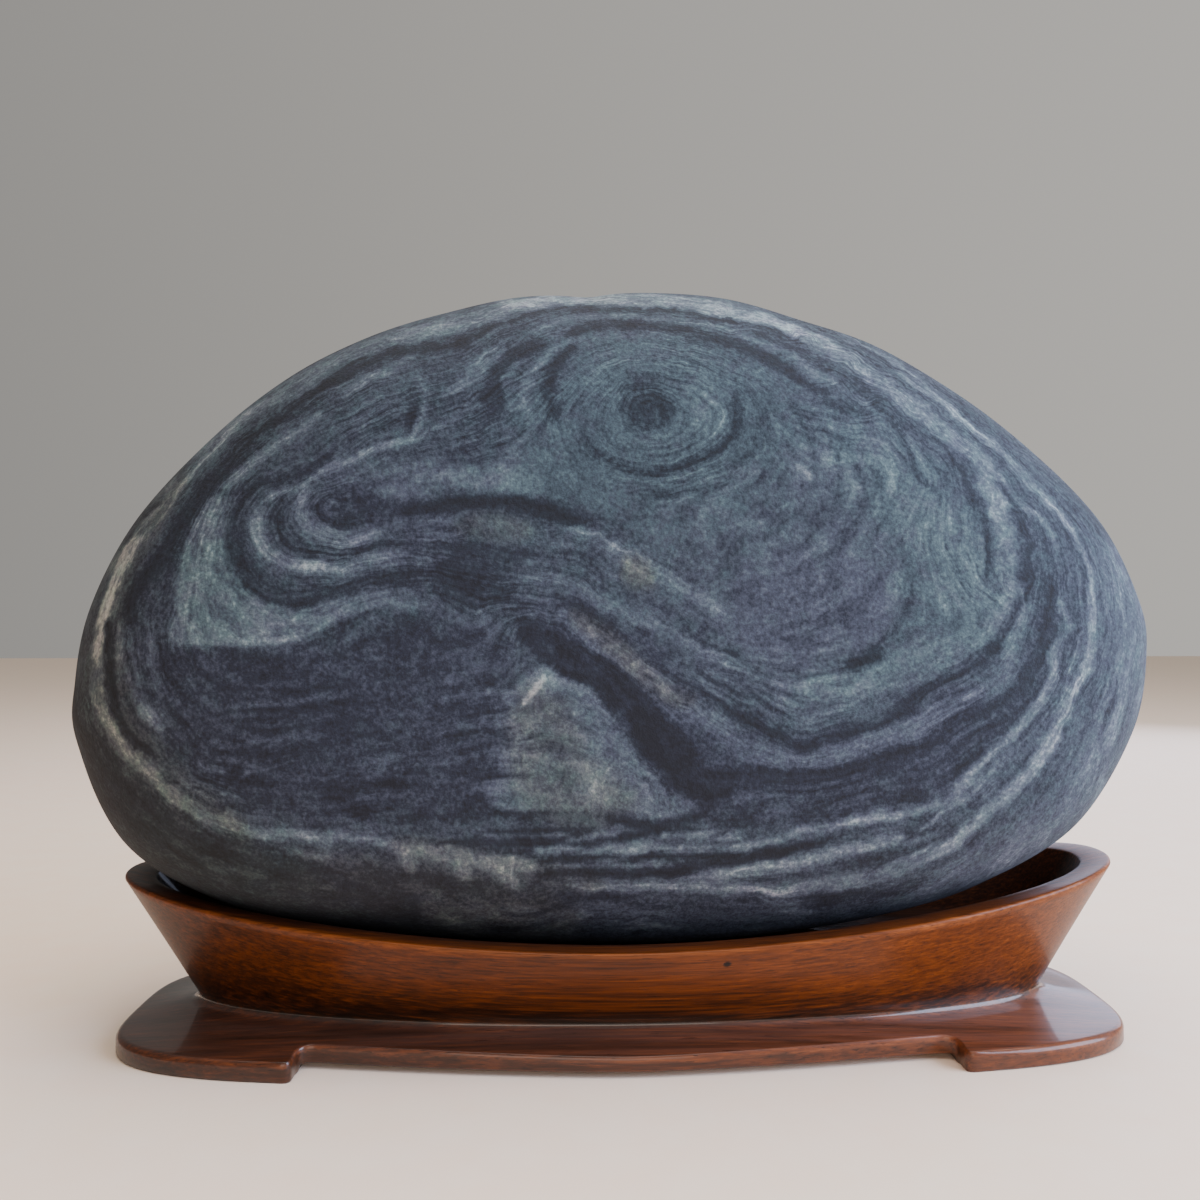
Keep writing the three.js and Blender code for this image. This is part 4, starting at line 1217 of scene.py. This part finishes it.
# Towards the tray's inside the wood is darkened as painted shade, and is rougher there.
inward = smoothstep(first_of_lip + 4, first_inside, ring_number)
shade_and_bright_edges = (("shade_and_matt_inside", inward), ("edge", edge_wear_and_highlight))
stand = mesh_piece("stand_carved", stand_points, stand_faces, wood_look, shade_and_bright_edges)
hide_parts("stand")
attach(stand, "root")
print("stand triangles", sum(len(p.vertices) - 2 for p in stand.data.polygons))

# %% [markdown]
# ## A plain setting
#
# A pale floor and soft light. In the photograph the light comes from the right and a little in front,
# as from a big window: the stone's right shoulder is cool and light, and its left end falls off into
# shade. A lamp behind gives the waxed plate its sheen.

# %% The floor
floor_look, tree = empty_material("matt_pale_paper")
place = node(tree, "TexCoord").outputs["Object"]
speck = node(tree, "TexNoise", None, {"Vector": place, "Scale": 60.0, "Detail": 2.0})
shade = node(tree, "Mix", {"data_type": "RGBA"},
             {"Factor": speck.outputs["Fac"], "A": srgb("#ffe4cd"), "B": srgb("#ffecd9")})
shader = node(tree, "BsdfPrincipled", None, {"Base Color": shade.outputs["Result"], "Roughness": 0.7})
node(tree, "OutputMaterial", None, {"Surface": shader.outputs["BSDF"]})
floor_corners = [(-3000, -3000, 0), (3000, -3000, 0), (3000, 3000, 0), (-3000, 3000, 0)]
floor = mesh_piece("floor", floor_corners, [(0, 1, 2, 3)], floor_look)
print("floor", floor_corners[2][0] * 2 * MM, "m across")

# %% Light
world = bpy.context.scene.world or bpy.data.worlds.new("studio")
bpy.context.scene.world = world
world.use_nodes = True
tree = world.node_tree
tree.nodes.clear()
looking = node(tree, "TexCoord").outputs["Generated"]
toward_the_light = node(tree, "SeparateXYZ", None, {0: looking}).outputs[0]
strength = node(tree, "MapRange", None, {
    "Value": toward_the_light, "From Min": -1.0, "From Max": 1.0, "To Min": 0.24, "To Max": 0.8}).outputs[0]
background = node(tree, "Background", None, {"Color": srgb("#e8e4de"), "Strength": strength})
node(tree, "OutputWorld", None, {"Surface": background.outputs[0]})


def soft_light(name, at, towards, size, power, colour):
    """A rectangular lamp that the camera does not see, aimed at a point."""
    light = bpy.data.lights.new(name, "AREA")
    light.shape, light.size, light.size_y = "RECTANGLE", size[0], size[1]
    light.energy, light.color = power, srgb(colour)[:3]
    lamp = bpy.data.objects.new(name, light)
    lamp.location = at
    aim = np.array(towards) - np.array(at)
    lamp.rotation_euler = (math.acos(-aim[2] / np.linalg.norm(aim)), 0, math.atan2(-aim[0], aim[1]))
    lamp.visible_camera = False
    bpy.context.scene.collection.objects.link(lamp)


soft_light("window", (1.15, -0.55, 0.6), (0.05, 0, 0.13), (1.0, 0.9), 38, "#cfe0ff")
soft_light("ceiling", (0.1, -0.1, 1.4), (0, 0, 0.1), (1.4, 1.2), 22, "#fff3e6")
soft_light("fill", (-0.1, -1.4, 0.35), (-0.05, 0, 0.1), (0.9, 0.5), 5, "#fff0e0")
soft_light("far_window", (0.62, 0.95, 0.42), (0.12, 0, 0.03), (1.3, 0.5), 8, "#d0dcff")
print("lamps:", ", ".join(lamp.name for lamp in bpy.data.lights))

# %% The camera, at the eye that the sheet was drawn for
# The lens and its shift were matched to the outlines of the stone and the stand in the photograph.
lens = bpy.data.cameras.new("camera")
lens.sensor_width, lens.lens = 36, 34.65
lens.shift_x, lens.shift_y = -0.015, 0.0042
camera = bpy.data.objects.new("camera", lens)
camera.location = (EYE_X * MM, EYE_Y * MM, EYE_Z * MM)
camera.rotation_euler = (math.pi / 2, 0, -EYE_TURN)
bpy.context.scene.collection.objects.link(camera)
bpy.context.scene.camera = camera
print("camera at", [round(v, 3) for v in camera.location], "with a lens of", round(lens.lens, 2), "mm")
